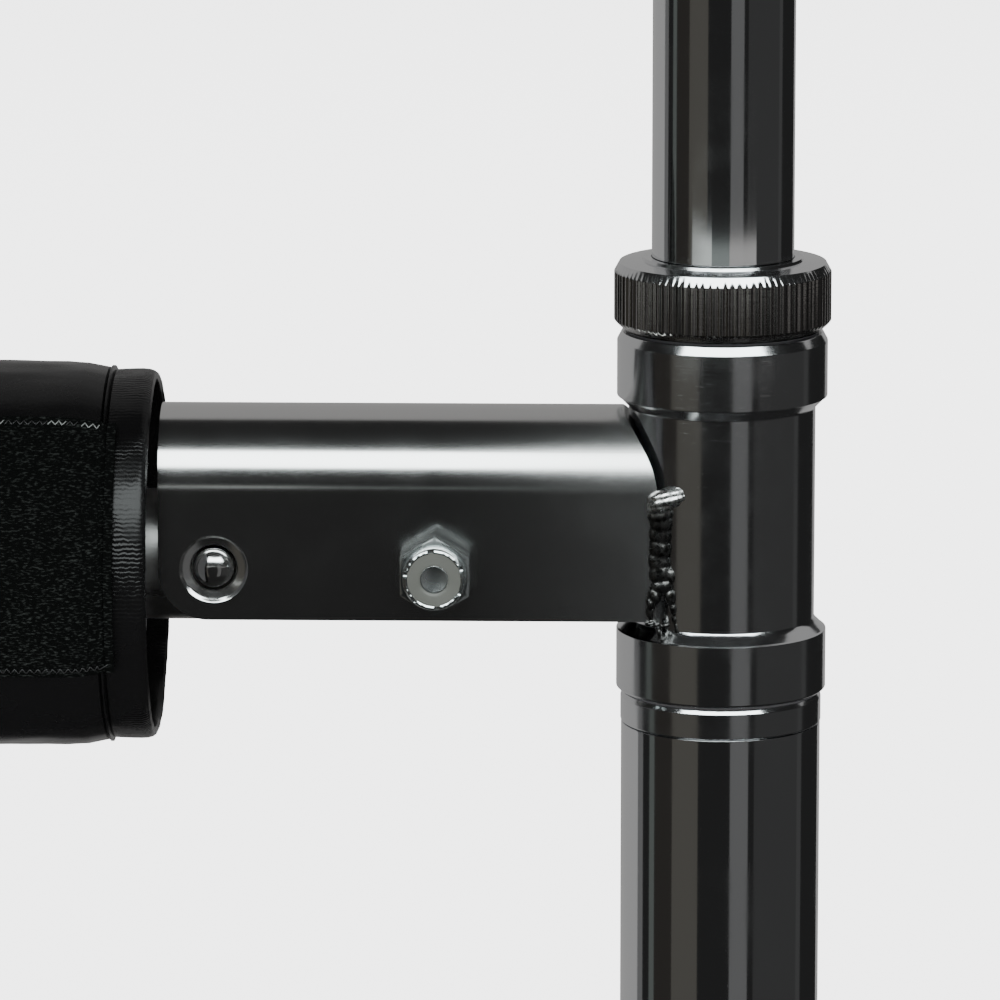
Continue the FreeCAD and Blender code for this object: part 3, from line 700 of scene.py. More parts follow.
def lay_bead(name, side):
    """Lay one bead on the side of the channel that faces side * Y, melt its drops together and roughen it."""
    weld_low, weld_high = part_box(name)
    centre_x = (weld_low.x + weld_high.x) / 2 + 0.2 * mm
    drops = []
    for down, along, out, half_x, half_y, half_z in WELD_DROPS:
        bpy.ops.object.select_all(action="DESELECT")
        place = (
            centre_x + along * mm,
            side * (channel_half + (0.35 + out) * mm),
            weld_high.z - down * mm,
        )
        bpy.ops.mesh.primitive_uv_sphere_add(segments=24, ring_count=14, radius=mm, location=place)
        drop = bpy.context.object
        drop.scale = (half_x, half_y, half_z)
        drop.rotation_euler = (0, math.radians(-14), 0)
        drops.append(drop)
    for drop in drops:
        drop.select_set(True)
    bpy.context.view_layer.objects.active = drops[0]
    bpy.ops.object.transform_apply(location=True, rotation=True, scale=True)
    bpy.ops.object.join()
    bead = bpy.context.object
    bead.name = bead.data.name = name.replace("bracket_", "") + "_bead"
    apply_modifier(bead, "REMESH", mode="VOXEL", voxel_size=0.22 * mm)
    ripple = bpy.data.textures.new(bead.name + "_ripple", "CLOUDS")
    ripple.noise_scale = 1.7 * mm
    ripple.noise_depth = 1
    apply_modifier(
        bead, "DISPLACE", texture=ripple, texture_coords="LOCAL", strength=0.28 * mm, mid_level=0.5)
    bpy.ops.object.shade_smooth()
    bead.data.materials.append(weld_metal)
    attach(bead, "hub")
    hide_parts(name)


lay_bead("bracket_weld_near", -1)
lay_bead("bracket_weld_far", 1)

# ---------------------------------------------------------------------------------------------------
# Pivot bolt, washer, lock nut and its insert: zinc-plated hardware through the channel and the arm.
# The nut's collar is rolled in over a grey plastic insert and staked at six places round its rim.
# ---------------------------------------------------------------------------------------------------


def forge_hexagon(name, across, low, high, crowned_low, crowned_high):
    """Forge a six-sided block with two corners up, its outer corners crowned at either end."""
    bpy.ops.object.select_all(action="DESELECT")
    corner = across / math.sqrt(3)
    bpy.ops.mesh.primitive_cylinder_add(
        vertices=6, radius=corner, depth=high - low, location=(0, 0, (low + high) / 2))
    block = bpy.context.object
    block.name = block.data.name = name
    bpy.ops.object.transform_apply(location=True, rotation=True, scale=True)
    crown_drop = 0.32 * mm
    flat = across * 0.475
    full = corner + 0.2 * mm
    crown = cut_on_lathe(name + "_crown", [
        (flat if crowned_low else full, low),
        (full, low + crown_drop),
        (full, high - crown_drop),
        (flat if crowned_high else full, high),
    ], segments=96, solid=True, edge=0)
    apply_modifier(block, "BOOLEAN", object=crown, operation="INTERSECT", solver="EXACT")
    bpy.data.objects.remove(crown)
    return block


def weld_on(piece, other):
    """Join another solid to a piece as one skin."""
    apply_modifier(piece, "BOOLEAN", object=other, operation="UNION", solver="EXACT")
    bpy.data.objects.remove(other)


bolt_low, bolt_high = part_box("pivot_bolt")
bolt_radius = 3.95 * mm
head_end = -bolt_high.y
tip = -bolt_low.y
across_flats = 13.0 * mm
head_height = 5.3 * mm
bolt = forge_hexagon("bolt", across_flats, head_end, head_end + head_height, True, False)
thread = []
for step in range(7):
    foot = tip - 9.75 * mm + step * 1.25 * mm
    thread += [(bolt_radius - 0.45 * mm, foot + 0.15 * mm), (bolt_radius - 0.02 * mm, foot + 0.65 * mm)]
    thread += [(bolt_radius - 0.02 * mm, foot + 0.8 * mm)]
shank = cut_on_lathe("bolt_shank", [
    (bolt_radius, head_end + head_height - 1.0 * mm),
    (bolt_radius, tip - 9.8 * mm),
    *thread,
    (bolt_radius - 0.3 * mm, tip - 0.75 * mm),
    (2.5 * mm, tip),
    (1.5 * mm, tip - 0.25 * mm),
    (0.5 * mm, tip - 0.35 * mm),
], segments=96, solid=True, edge=0)
weld_on(bolt, shank)
break_edges(bolt, 0.12 * mm)
lay_across(bolt, pivot)

washer_low, washer_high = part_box("pivot_washer")
washer = cut_on_lathe("flat_washer", [
    (bolt_radius + 0.1 * mm, -washer_high.y),
    (washer_high.x - pivot.x, -washer_high.y),
    (washer_high.x - pivot.x, -washer_low.y),
    (bolt_radius + 0.1 * mm, -washer_low.y),
], segments=128, edge=0.25 * mm)
lay_across(washer, pivot)

nut_low, nut_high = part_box("pivot_nut")
seat = -nut_high.y
nut_face = -nut_low.y
nut_hex = 6.5 * mm
collar_radius = 6.0 * mm
insert_radius = 5.2 * mm
nut = forge_hexagon("lock_nut", across_flats, seat, seat + nut_hex, False, True)
collar = cut_on_lathe("nut_collar", [
    (collar_radius, seat + 1.0 * mm),
    (collar_radius, nut_face - 1.1 * mm),
    (collar_radius - 0.12 * mm, nut_face - 0.65 * mm),
    (collar_radius - 0.38 * mm, nut_face - 0.25 * mm),
    (collar_radius - 0.75 * mm, nut_face - 0.04 * mm),
    (insert_radius - 0.1 * mm, nut_face),
], segments=128, solid=True, edge=0)
weld_on(nut, collar)
nut_thread = cut_on_lathe("nut_thread", [
    (bolt_radius + 0.06 * mm, seat - 1 * mm),
    (bolt_radius + 0.06 * mm, nut_face - 2.6 * mm),
    (insert_radius, nut_face - 2.6 * mm),
    (insert_radius, nut_face - 0.55 * mm),
    (insert_radius - 0.15 * mm, nut_face - 0.25 * mm),
    (insert_radius + 0.28 * mm, nut_face + 0.01 * mm),
    (insert_radius + 0.28 * mm, nut_face + 1.0 * mm),
], segments=128, solid=True, edge=0)
bore_out(nut, nut_thread)

# Where the collar was staked, in degrees round from +X towards +Z.
STAKES = (23, -27, -83, -134, 169, 96)
for angle in STAKES:
    bpy.ops.object.select_all(action="DESELECT")
    turn = math.radians(angle)
    place = (5.5 * mm * math.cos(turn), 5.5 * mm * math.sin(turn), nut_face + 0.25 * mm)
    bpy.ops.mesh.primitive_uv_sphere_add(segments=20, ring_count=12, radius=mm, location=place)
    punch = bpy.context.object
    punch.scale = (1.15, 0.8, 0.85)
    punch.rotation_euler = (0, 0, turn)
    bpy.ops.object.transform_apply(location=True, rotation=True, scale=True)
    bore_out(nut, punch)
break_edges(nut, 0.16 * mm, 3)
lay_across(nut, pivot)

insert_low, insert_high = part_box("nut_insert")
insert_face = -insert_low.y
insert = cut_on_lathe("insert", [
    (bolt_radius + 0.08 * mm, -insert_high.y),
    (insert_radius - 0.05 * mm, -insert_high.y),
    (insert_radius - 0.05 * mm, insert_face),
    (3.3 * mm, insert_face),
    (2.95 * mm, insert_face - 0.14 * mm),
    (2.7 * mm, insert_face - 0.28 * mm),
    (2.6 * mm, insert_face - 0.5 * mm),
    (bolt_radius + 0.08 * mm, insert_face - 0.51 * mm),
], segments=128, edge=0)
lay_across(insert, pivot)

insert_grey, tree, shader = new_material("insert_grey", (0.05, 0.054, 0.047), 0.42)
use_group(tree, shader, moulded_grain, grain_scale=1800.0, grain_depth=0.3)
for piece, node, material, finish in (
    (bolt, "pivot_bolt", zinc, "zinc_hardware"),
    (washer, "pivot_washer", zinc, "zinc_hardware"),
    (nut, "pivot_nut", zinc, "zinc_hardware"),
    (insert, "nut_insert", insert_grey, "insert_grey"),
):
    piece.data.materials.append(material)
    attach(piece, "hub")
    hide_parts(node)

# ---------------------------------------------------------------------------------------------------
# Arm tube, its pivot sleeve and its end cap: welded steel tube, a zinc-plated sleeve across it for
# the bolt, and a moulded cap that closes the outer end and keeps the padded roll on.
# ---------------------------------------------------------------------------------------------------


def make_brushed_group():
    """Steel that was linished along its length: long fine scores and slow changes of tone."""
    group, given, result = start_group(
        "brushed_steel",
        {"Gloss": 0.3, "Score Depth": 0.4},
        {"Roughness": "NodeSocketFloat", "Normal": "NodeSocketVector"},
    )
    scores = object_noise(group, (0.02, 1, 1), 3200, 3)
    tone = object_noise(group, (0.3, 1, 1), 160, 3)
    haze = ramp(group, tone.outputs["Fac"], 0.3, 0.7, -0.05, 0.12)
    gloss = group.nodes.new("ShaderNodeMath")
    gloss.operation = "ADD"
    group.links.new(given.outputs["Gloss"], gloss.inputs[0])
    group.links.new(haze.outputs["Result"], gloss.inputs[1])
    group.links.new(gloss.outputs["Value"], result.inputs["Roughness"])
    bump = group.nodes.new("ShaderNodeBump")
    bump.inputs["Distance"].default_value = 0.02 * mm
    group.links.new(given.outputs["Score Depth"], bump.inputs["Strength"])
    group.links.new(scores.outputs["Fac"], bump.inputs["Height"])
    group.links.new(bump.outputs["Normal"], result.inputs["Normal"])
    return group


def lay_along(piece, centre):
    """Turn a piece made about the post's axis so that its axis runs out along the arm from a centre."""
    bpy.ops.object.select_all(action="DESELECT")
    bpy.context.view_layer.objects.active = piece
    piece.select_set(True)
    piece.rotation_euler = (0, -math.pi / 2, 0)
    piece.location = centre
    bpy.ops.object.transform_apply(location=True, rotation=True, scale=True)
    return piece


brushed_steel = make_brushed_group()
arm_steel, tree, shader = new_material("arm_steel", (0.42, 0.42, 0.41), 0.32, 1.0)
use_group(tree, shader, brushed_steel, gloss=0.3, score_depth=0.5)
spring_steel, tree, shader = new_material("spring_steel", (0.30, 0.29, 0.27), 0.3, 1.0)
use_group(tree, shader, brushed_steel, gloss=0.26, score_depth=0.3)

arm_low, arm_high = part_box("arm_tube")
arm_radius = arm_high.y
arm_wall = 1.5 * mm
arm_inner_end = pivot.x - arm_high.x
arm_outer_end = pivot.x - arm_low.x
arm_tube = cut_on_lathe("arm", [
    (arm_radius - arm_wall, arm_inner_end),
    (arm_radius, arm_inner_end),
    (arm_radius, arm_outer_end),
    (arm_radius - arm_wall, arm_outer_end),
], segments=128, edge=0)
lay_along(arm_tube, pivot)
sleeve_hole = cut_on_lathe("sleeve_hole", [
    (6.05 * mm, -20 * mm),
    (6.05 * mm, 20 * mm),
], segments=64, solid=True, edge=0)
bore_out(arm_tube, lay_across(sleeve_hole, pivot))
button_hole = cut_on_lathe("button_hole", [
    (4.15 * mm, 2 * mm),
    (4.15 * mm, 20 * mm),
], segments=64, solid=True, edge=0)
bore_out(arm_tube, lay_across(button_hole, button_centre))
break_edges(arm_tube, 0.15 * mm)

sleeve = cut_on_lathe("sleeve", [
    (4.03 * mm, -12.5 * mm),
    (6.0 * mm, -12.5 * mm),
    (6.0 * mm, 12.5 * mm),
    (4.03 * mm, 12.5 * mm),
], segments=96, edge=0.15 * mm)
lay_across(sleeve, pivot)

cap_low, cap_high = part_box("arm_end_cap")
cap_face = pivot.x - cap_low.x
cap_inside = pivot.x - cap_high.x
cap_radius = 15.5 * mm
arm_cap = cut_on_lathe("end_cap", [
    (arm_radius - arm_wall - 1.5 * mm, cap_inside),
    (arm_radius - arm_wall - 0.05 * mm, cap_inside + 1.0 * mm),
    (arm_radius - arm_wall - 0.05 * mm, arm_outer_end + 0.05 * mm),
    (cap_radius, arm_outer_end + 0.05 * mm),
    (cap_radius, cap_face - 0.8 * mm),
    (cap_radius - 0.3 * mm, cap_face - 0.25 * mm),
    (cap_radius - 0.9 * mm, cap_face),
    (cap_radius - 3.5 * mm, cap_face),
    (cap_radius - 4.1 * mm, cap_face - 0.5 * mm),
    (2.5 * mm, cap_face - 0.6 * mm),
], segments=128, solid=True, edge=0.12 * mm)
lay_along(arm_cap, pivot)

for piece, node, material, finish in (
    (arm_tube, "arm_tube", arm_steel, "arm_steel"),
    (sleeve, "pivot_sleeve", zinc, "zinc_hardware"),
    (arm_cap, "arm_end_cap", black_plastic, "black_plastic"),
):
    piece.data.materials.append(material)
    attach(piece, "arm")
    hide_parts(node)

# ---------------------------------------------------------------------------------------------------
# Snap button and its clip: a plated round-nosed button riveted to one leaf of a V-shaped spring of
# steel strip inside the arm. The spring holds the button out through the dimpled hole.
# ---------------------------------------------------------------------------------------------------
button_radius = 4.0 * mm
button_round = 3.6 * mm
nose = -button_low.y
dome = []
for step in range(1, 12):
    share = math.radians(90 * step / 12)
    dome.append((
        button_radius - button_round + button_round * math.cos(share),
        nose - button_round + button_round * math.sin(share),
    ))
button = cut_on_lathe("button", [
    (3.0 * mm, -button_high.y),
    (3.2 * mm, -button_high.y + 0.2 * mm),
    (3.2 * mm, 9.1 * mm),
    (2.0 * mm, 9.15 * mm),
    (2.0 * mm, 10.05 * mm),
    (button_radius, 10.05 * mm),
    (button_radius, nose - button_round),
    *dome,
    (button_radius - button_round, nose),
], segments=96, solid=True, edge=0)
lay_across(button, button_centre)
button_chrome, tree, shader = new_material("button_chrome", (0.74, 0.74, 0.73), 0.1, 1.0)
use_group(tree, shader, handled_plate, gloss=0.08, smudge=0.15, scratch_depth=0.8)
button.data.materials.append(button_chrome)
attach(button, "button")
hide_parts("snap_button")

# The clip's line, as distance out along the arm and distance across it, in millimetres.
CLIP_LINE = (
    (36.0, -9.4), (43.0, -9.6), (49.0, -9.6), (52.0, -9.1), (70.0, -5.4), (86.0, -2.2), (89.4, -1.4),
    (90.5, 0.0), (89.4, 1.4), (86.0, 2.2), (70.0, 5.4), (52.0, 9.1), (49.0, 9.6), (43.0, 9.6), (36.0, 9.4),
)


def bend_clip():
    """Bend the strip: one upright edge drawn along the clip's line, then given its thickness."""
    bpy.ops.object.select_all(action="DESELECT")
    out, across = CLIP_LINE[0]
    bpy.ops.mesh.primitive_circle_add(vertices=3, radius=mm)
    piece = bpy.context.object
    piece.name = piece.data.name = "clip"
    bpy.ops.object.mode_set(mode="EDIT")
    mesh = bmesh.from_edit_mesh(piece.data)
    mesh.verts.ensure_lookup_table()
    bmesh.ops.delete(mesh, geom=[mesh.verts[2]], context="VERTS")
    mesh.verts.ensure_lookup_table()
    for vertex, rise in zip(mesh.verts, (-4.0, 4.0)):
        vertex.co = pivot + Vector((-out, across, rise)) * mm
        vertex.select = True
    mesh.select_flush(True)
    bmesh.update_edit_mesh(piece.data)
    for next_out, next_across in CLIP_LINE[1:]:
        step = (-(next_out - out) * mm, (next_across - across) * mm, 0)
        bpy.ops.mesh.extrude_region_move(TRANSFORM_OT_translate={"value": step})
        out, across = next_out, next_across
    bpy.ops.mesh.select_all(action="SELECT")
    bpy.ops.mesh.normals_make_consistent(inside=False)
    bpy.ops.object.mode_set(mode="OBJECT")
    apply_modifier(piece, "SUBSURF", levels=1, render_levels=1)
    apply_modifier(piece, "SOLIDIFY", thickness=0.7 * mm, offset=0)
    break_edges(piece, 0.12 * mm)
    return piece


clip = bend_clip()
clip.data.materials.append(spring_steel)
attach(clip, "arm")
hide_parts("button_clip")
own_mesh(clip)

# ---------------------------------------------------------------------------------------------------
# Foam core: closed-cell foam bored to slide over the arm tube. Its two ends are cut by hand and set
# back inside the cover, and its cells show there.
# ---------------------------------------------------------------------------------------------------
foam_low, foam_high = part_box("foam_core")
cover_low, cover_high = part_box("pad_cover")
foam_start = pivot.x - foam_high.x
foam_end = pivot.x - foam_low.x
pad_start = pivot.x - cover_high.x
pad_end = pivot.x - cover_low.x
foam_radius = 33.2 * mm
foam = cut_on_lathe("foam", [
    (arm_radius + 0.2 * mm, foam_start),
    (18.0 * mm, foam_start),
    (24.0 * mm, foam_start),
    (29.0 * mm, foam_start),
    (foam_radius, foam_start + 0.6 * mm),
    (foam_radius + 0.3 * mm, foam_start + 4.0 * mm),
    (foam_radius + 0.3 * mm, foam_end - 4.0 * mm),
    (foam_radius, foam_end - 0.6 * mm),
    (29.0 * mm, foam_end),
    (24.0 * mm, foam_end),
    (18.0 * mm, foam_end),
    (arm_radius + 0.2 * mm, foam_end),
], segments=256, edge=0)
lay_along(foam, pivot)
cells = bpy.data.textures.new("foam_cells", "CLOUDS")
cells.noise_scale = 2.5 * mm
apply_modifier(foam, "DISPLACE", texture=cells, texture_coords="LOCAL", strength=0.5 * mm, mid_level=0.7)

black_foam, tree, shader = new_material("foam", (0.022, 0.022, 0.023), 0.9)
place = tree.nodes.new("ShaderNodeTexCoord")
cell = tree.nodes.new("ShaderNodeTexVoronoi")
cell.inputs["Scale"].default_value = 1400
tree.links.new(place.outputs["Object"], cell.inputs["Vector"])
tone = tree.nodes.new("ShaderNodeValToRGB")
tone.color_ramp.elements[0].color = (0.008, 0.008, 0.008, 1)
tone.color_ramp.elements[1].color = (0.05, 0.05, 0.052, 1)
tone.color_ramp.elements[1].position = 0.6
tree.links.new(cell.outputs["Distance"], tone.inputs["Fac"])
tree.links.new(tone.outputs["Color"], shader.inputs["Base Color"])
bump = tree.nodes.new("ShaderNodeBump")
bump.inputs["Distance"].default_value = 0.3 * mm
bump.inputs["Strength"].default_value = 0.8
tree.links.new(cell.outputs["Distance"], bump.inputs["Height"])
tree.links.new(bump.outputs["Normal"], shader.inputs["Normal"])
foam.data.materials.append(black_foam)
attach(foam, "arm")
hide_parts("foam_core")

# ---------------------------------------------------------------------------------------------------
# Cover: black coated fabric sewn into a tube and pulled over the foam. Each end is sewn to a flat
# hem with a proud seam, gathered into fine creases, and turned in over the end of the roll.
# ---------------------------------------------------------------------------------------------------
full_radius = 37.0 * mm
hem_radius = 35.25 * mm
hem_width = 8.3 * mm
hem_slope = 5.5 * mm
cover_swell_limit = 0.8 * mm


def stuff_roll():
    """Blow up a closed skin of the roll as cloth, held at its hems, and keep it close to the foam."""
    slack = 0.3 * mm
    body = cut_on_lathe("stuffed_roll", [
        (4.0 * mm, pad_start + 1 * mm),
        (hem_radius - 1.0 * mm, pad_start + 1 * mm),
        (hem_radius, pad_start + 2 * mm),
        (hem_radius, pad_start + hem_width),
        (full_radius - slack, pad_start + hem_width + hem_slope),
        (full_radius - slack, pad_end - hem_width - hem_slope),
        (hem_radius, pad_end - hem_width),
        (hem_radius, pad_end - 2 * mm),
        (hem_radius - 1.0 * mm, pad_end - 1 * mm),
        (4.0 * mm, pad_end - 1 * mm),
    ], segments=96, solid=True, edge=0)
    apply_modifier(body, "REMESH", mode="VOXEL", voxel_size=3.6 * mm)
    lay_along(body, pivot)
    held = body.vertex_groups.new(name="held")
    for vertex in body.data.vertices:
        out = pivot.x - vertex.co.x
        from_end = min(out - pad_start, pad_end - out)
        held.add([vertex.index], 1.0 if from_end < hem_width + 1 * mm else 0.0, "REPLACE")
    rest = [vertex.co.copy() for vertex in body.data.vertices]
    cloth = body.modifiers.new("Cloth", "CLOTH")
    cloth.settings.quality = 6
    cloth.settings.mass = 0.25
    cloth.settings.tension_stiffness = 12
    cloth.settings.compression_stiffness = 6
    cloth.settings.shear_stiffness = 4
    cloth.settings.bending_stiffness = 0.4
    cloth.settings.use_pressure = True
    cloth.settings.uniform_pressure_force = 4
    cloth.settings.effector_weights.gravity = 0
    cloth.settings.vertex_group_mass = "held"
    cloth.settings.shrink_min = -0.03
    cloth.point_cache.frame_start = 1
    cloth.point_cache.frame_end = 20
    for step in range(1, 21):
        bpy.context.scene.frame_set(step)
    bpy.ops.object.select_all(action="DESELECT")
    bpy.context.view_layer.objects.active = body
    body.select_set(True)
    bpy.ops.object.modifier_apply(modifier=cloth.name)
    bpy.context.scene.frame_set(1)
    for vertex, start in zip(body.data.vertices, rest):
        move = vertex.co - start
        if move.length > cover_swell_limit:
            vertex.co = start + move.normalized() * cover_swell_limit
    apply_modifier(body, "SUBSURF", levels=1, render_levels=1)
    return body


def cut_cover():
    """Cut the cover as a fine clean tube, so that it can be laid on the stuffed roll."""
    steps = 46
    first = pad_start + hem_width + 0.9 * mm
    last = pad_end - hem_width - 0.9 * mm
    middle = []
    for step in range(steps + 1):
        out = first + (last - first) * step / steps
        share = min(1.0, (min(out - pad_start, pad_end - out) - hem_width) / hem_slope)
        swell = (full_radius - hem_radius) * math.sin(share * math.pi / 2)
        middle.append((hem_radius - 0.1 * mm + swell, out))
    outside = [
        (hem_radius - 0.7 * mm, pad_start + 0.3 * mm),
        (hem_radius - 0.28 * mm, pad_start + 0.9 * mm),
        (hem_radius - 0.04 * mm, pad_start + 1.7 * mm),
        (hem_radius + 0.05 * mm, pad_start + 2.9 * mm),
        (hem_radius, pad_start + 4.5 * mm),
        (hem_radius - 0.05 * mm, pad_start + 6.5 * mm),
        (hem_radius - 0.1 * mm, pad_start + hem_width - 0.6 * mm),
        (hem_radius - 0.35 * mm, pad_start + hem_width - 0.35 * mm),
        (hem_radius + 0.65 * mm, pad_start + hem_width),
        (hem_radius + 0.65 * mm, pad_start + hem_width + 0.35 * mm),
        (hem_radius - 0.1 * mm, pad_start + hem_width + 0.6 * mm),
    ]
    far_outside = [(radius, pad_end - (out - pad_start)) for radius, out in outside]
    turned_in = [
        (hem_radius - 1.35 * mm, pad_start),
        (hem_radius - 1.9 * mm, pad_start + 0.5 * mm),
        (hem_radius - 2.1 * mm, pad_start + 1.4 * mm),
        (hem_radius - 2.1 * mm, pad_start + 3.0 * mm),
        (foam_radius - 0.2 * mm, pad_start + 5.5 * mm),
    ]
    far_turned_in = [(radius, pad_end - (out - pad_start)) for radius, out in turned_in]
    lining = [(foam_radius + 0.5 * mm, pad_end - 8 * mm), (foam_radius + 0.5 * mm, pad_start + 8 * mm)]
    stations = turned_in[::-1] + outside + middle + far_outside[::-1] + far_turned_in + lining
    piece = cut_on_lathe("cover", stations, segments=288, edge=0)
    lay_along(piece, pivot)
    return piece


def lay_on_roll(cover, roll):
    """Lay the cover's middle on the stuffed roll's skin, leaving its hems as they were cut."""
    loose = cover.vertex_groups.new(name="loose")
    for vertex in cover.data.vertices:
        out = pivot.x - vertex.co.x
        radius = (vertex.co - Vector((vertex.co.x, pivot.y, pivot.z))).length
        from_seam = min(out - pad_start, pad_end - out) - hem_width - 0.8 * mm
        if from_seam > 0 and radius > foam_radius + 1.0 * mm:
            loose.add([vertex.index], min(1.0, from_seam / (2.5 * mm)), "REPLACE")
    apply_modifier(
        cover, "SHRINKWRAP", target=roll, wrap_method="PROJECT", use_negative_direction=True,
        use_positive_direction=True, vertex_group="loose", offset=0,
    )
    waves = bpy.data.textures.new("cover_waves", "CLOUDS")
    waves.noise_scale = 26 * mm
    waves.noise_depth = 1
    apply_modifier(
        cover, "DISPLACE", texture=waves, texture_coords="LOCAL", strength=0.7 * mm, mid_level=0.5,
        vertex_group="loose",
    )
    pulls = bpy.data.textures.new("hem_pulls", "CLOUDS")
    pulls.noise_scale = 5 * mm
    pulls.noise_depth = 2
    apply_modifier(
        cover, "DISPLACE", texture=pulls, texture_coords="LOCAL", strength=0.3 * mm, mid_level=0.5,
    )
    bpy.data.objects.remove(roll)


def make_leather_grain_group():
    """The printed grain of a coated fabric: small pebbles with creases between them."""
    group, given, result = start_group(
        "leather_grain",
        {"Pebble Scale": 1300.0, "Pebble Depth": 0.3},
        {"Height": "NodeSocketFloat", "Roughness": "NodeSocketFloat"},
    )
    place = group.nodes.new("ShaderNodeTexCoord")
    pebble = group.nodes.new("ShaderNodeTexVoronoi")
    pebble.feature = "SMOOTH_F1"
    group.links.new(place.outputs["Object"], pebble.inputs["Vector"])
    group.links.new(given.outputs["Pebble Scale"], pebble.inputs["Scale"])
    raised = group.nodes.new("ShaderNodeMath")
    raised.operation = "MULTIPLY"
    group.links.new(pebble.outputs["Distance"], raised.inputs[0])
    group.links.new(given.outputs["Pebble Depth"], raised.inputs[1])
    group.links.new(raised.outputs["Value"], result.inputs["Height"])
    rub = object_noise(group, (1, 1, 1), 120, 4)
    shine = ramp(group, rub.outputs["Fac"], 0.35, 0.7, 0.29, 0.21)
    group.links.new(shine.outputs["Result"], result.inputs["Roughness"])
    return group


def make_leatherette():
    """Black coated fabric with printed grain and, on the hems only, gathered creases round the roll."""
    material, tree, shader = new_material("leatherette", (0.0022, 0.0022, 0.0023), 0.36)
    shader.inputs["Specular IOR Level"].default_value = 0.22
    grain = tree.nodes.new("ShaderNodeGroup")
    grain.node_tree = make_leather_grain_group()
    tree.links.new(grain.outputs["Roughness"], shader.inputs["Roughness"])
    place = tree.nodes.new("ShaderNodeTexCoord")
    axes = tree.nodes.new("ShaderNodeSeparateXYZ")
    tree.links.new(place.outputs["Object"], axes.inputs["Vector"])

    def figure(operation, first, second=None):
        node = tree.nodes.new("ShaderNodeMath")
        node.operation = operation
        for socket, value in zip(node.inputs, (first, second)):
            if isinstance(value, (int, float)):
                socket.default_value = value
            elif value is not None:
                tree.links.new(value, socket)
        return node.outputs["Value"]

    level = figure("SUBTRACT", axes.outputs["Z"], pivot.z)
    angle = figure("ARCTAN2", level, axes.outputs["Y"])
    wander = object_noise(tree, (1.5, 0.6, 0.6), 620, 2)
    sway = figure("MULTIPLY", figure("SUBTRACT", wander.outputs["Fac"], 0.5), 3.6)
    crease = figure("SINE", figure("ADD", figure("MULTIPLY", angle, 254.0), figure("MULTIPLY", sway, 2.0)))
    calm = object_noise(tree, (1, 1, 1), 75, 1)
    strength = ramp(tree, calm.outputs["Fac"], 0.42, 0.56, 0.15, 1.0)
    near_hem = figure("COMPARE", axes.outputs["X"], pivot.x - pad_start - hem_width / 2)
    tree.nodes[-1].inputs[2].default_value = hem_width / 2 - 0.5 * mm
    far_hem = figure("COMPARE", axes.outputs["X"], pivot.x - pad_end + hem_width / 2)
    tree.nodes[-1].inputs[2].default_value = hem_width / 2 - 0.5 * mm
    on_hem = figure("MAXIMUM", near_hem, far_hem)
    gather = figure("MULTIPLY", figure("MULTIPLY", crease, strength.outputs["Result"]), on_hem)
    gather_bump = tree.nodes.new("ShaderNodeBump")
    gather_bump.inputs["Distance"].default_value = 0.055 * mm
    gather_bump.inputs["Strength"].default_value = 0.8
    tree.links.new(gather, gather_bump.inputs["Height"])
    grain_bump = tree.nodes.new("ShaderNodeBump")
    grain_bump.inputs["Distance"].default_value = 0.12 * mm
    grain_bump.inputs["Strength"].default_value = 0.5
    tree.links.new(grain.outputs["Height"], grain_bump.inputs["Height"])
    tree.links.new(gather_bump.outputs["Normal"], grain_bump.inputs["Normal"])
    tree.links.new(grain_bump.outputs["Normal"], shader.inputs["Normal"])
    return material


cover = cut_cover()
lay_on_roll(cover, stuff_roll())
bpy.context.view_layer.objects.active = cover
cover.select_set(True)
bpy.ops.object.shade_smooth_by_angle(angle=math.radians(50))
leatherette = make_leatherette()
cover.data.materials.append(leatherette)
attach(cover, "arm")
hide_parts("pad_cover")

# ---------------------------------------------------------------------------------------------------
# Loop tape: a wide strip of knitted loop pile sewn on the cover's near side, its edges stitched down
# with a zigzag of mostly black thread.
# ---------------------------------------------------------------------------------------------------
tape_tilt = math.radians(13.5)
tape_half_angle = math.radians(40)
tape_start = pad_start + hem_width - 2.2 * mm
tape_end = pad_end - hem_width + 2.2 * mm
tape_lift = 0.62 * mm


def on_roll(out, angle, height):
    """The place a distance out along the arm, an angle up from the near side and a height off the cover."""
    from_end = min(out - pad_start, pad_end - out)
    share = min(1.0, max(0.0, (from_end - hem_width) / hem_slope))
    radius = hem_radius + (full_radius - hem_radius) * share + height
    return Vector((pivot.x - out, -radius * math.cos(angle), pivot.z + radius * math.sin(angle)))


def lay_tape():
    """Lay a fine grid round the near side of the roll and give it its thickness and its pile."""
    bpy.ops.object.select_all(action="DESELECT")
    bpy.ops.mesh.primitive_grid_add(x_subdivisions=300, y_subdivisions=96, size=1)
    piece = bpy.context.object
    piece.name = piece.data.name = "tape"
    for vertex in piece.data.vertices:
        out = tape_start + (vertex.co.x + 0.5) * (tape_end - tape_start)
        angle = tape_tilt + vertex.co.y * 2 * tape_half_angle
        vertex.co = on_roll(out, angle, 1.2 * mm)
    return piece


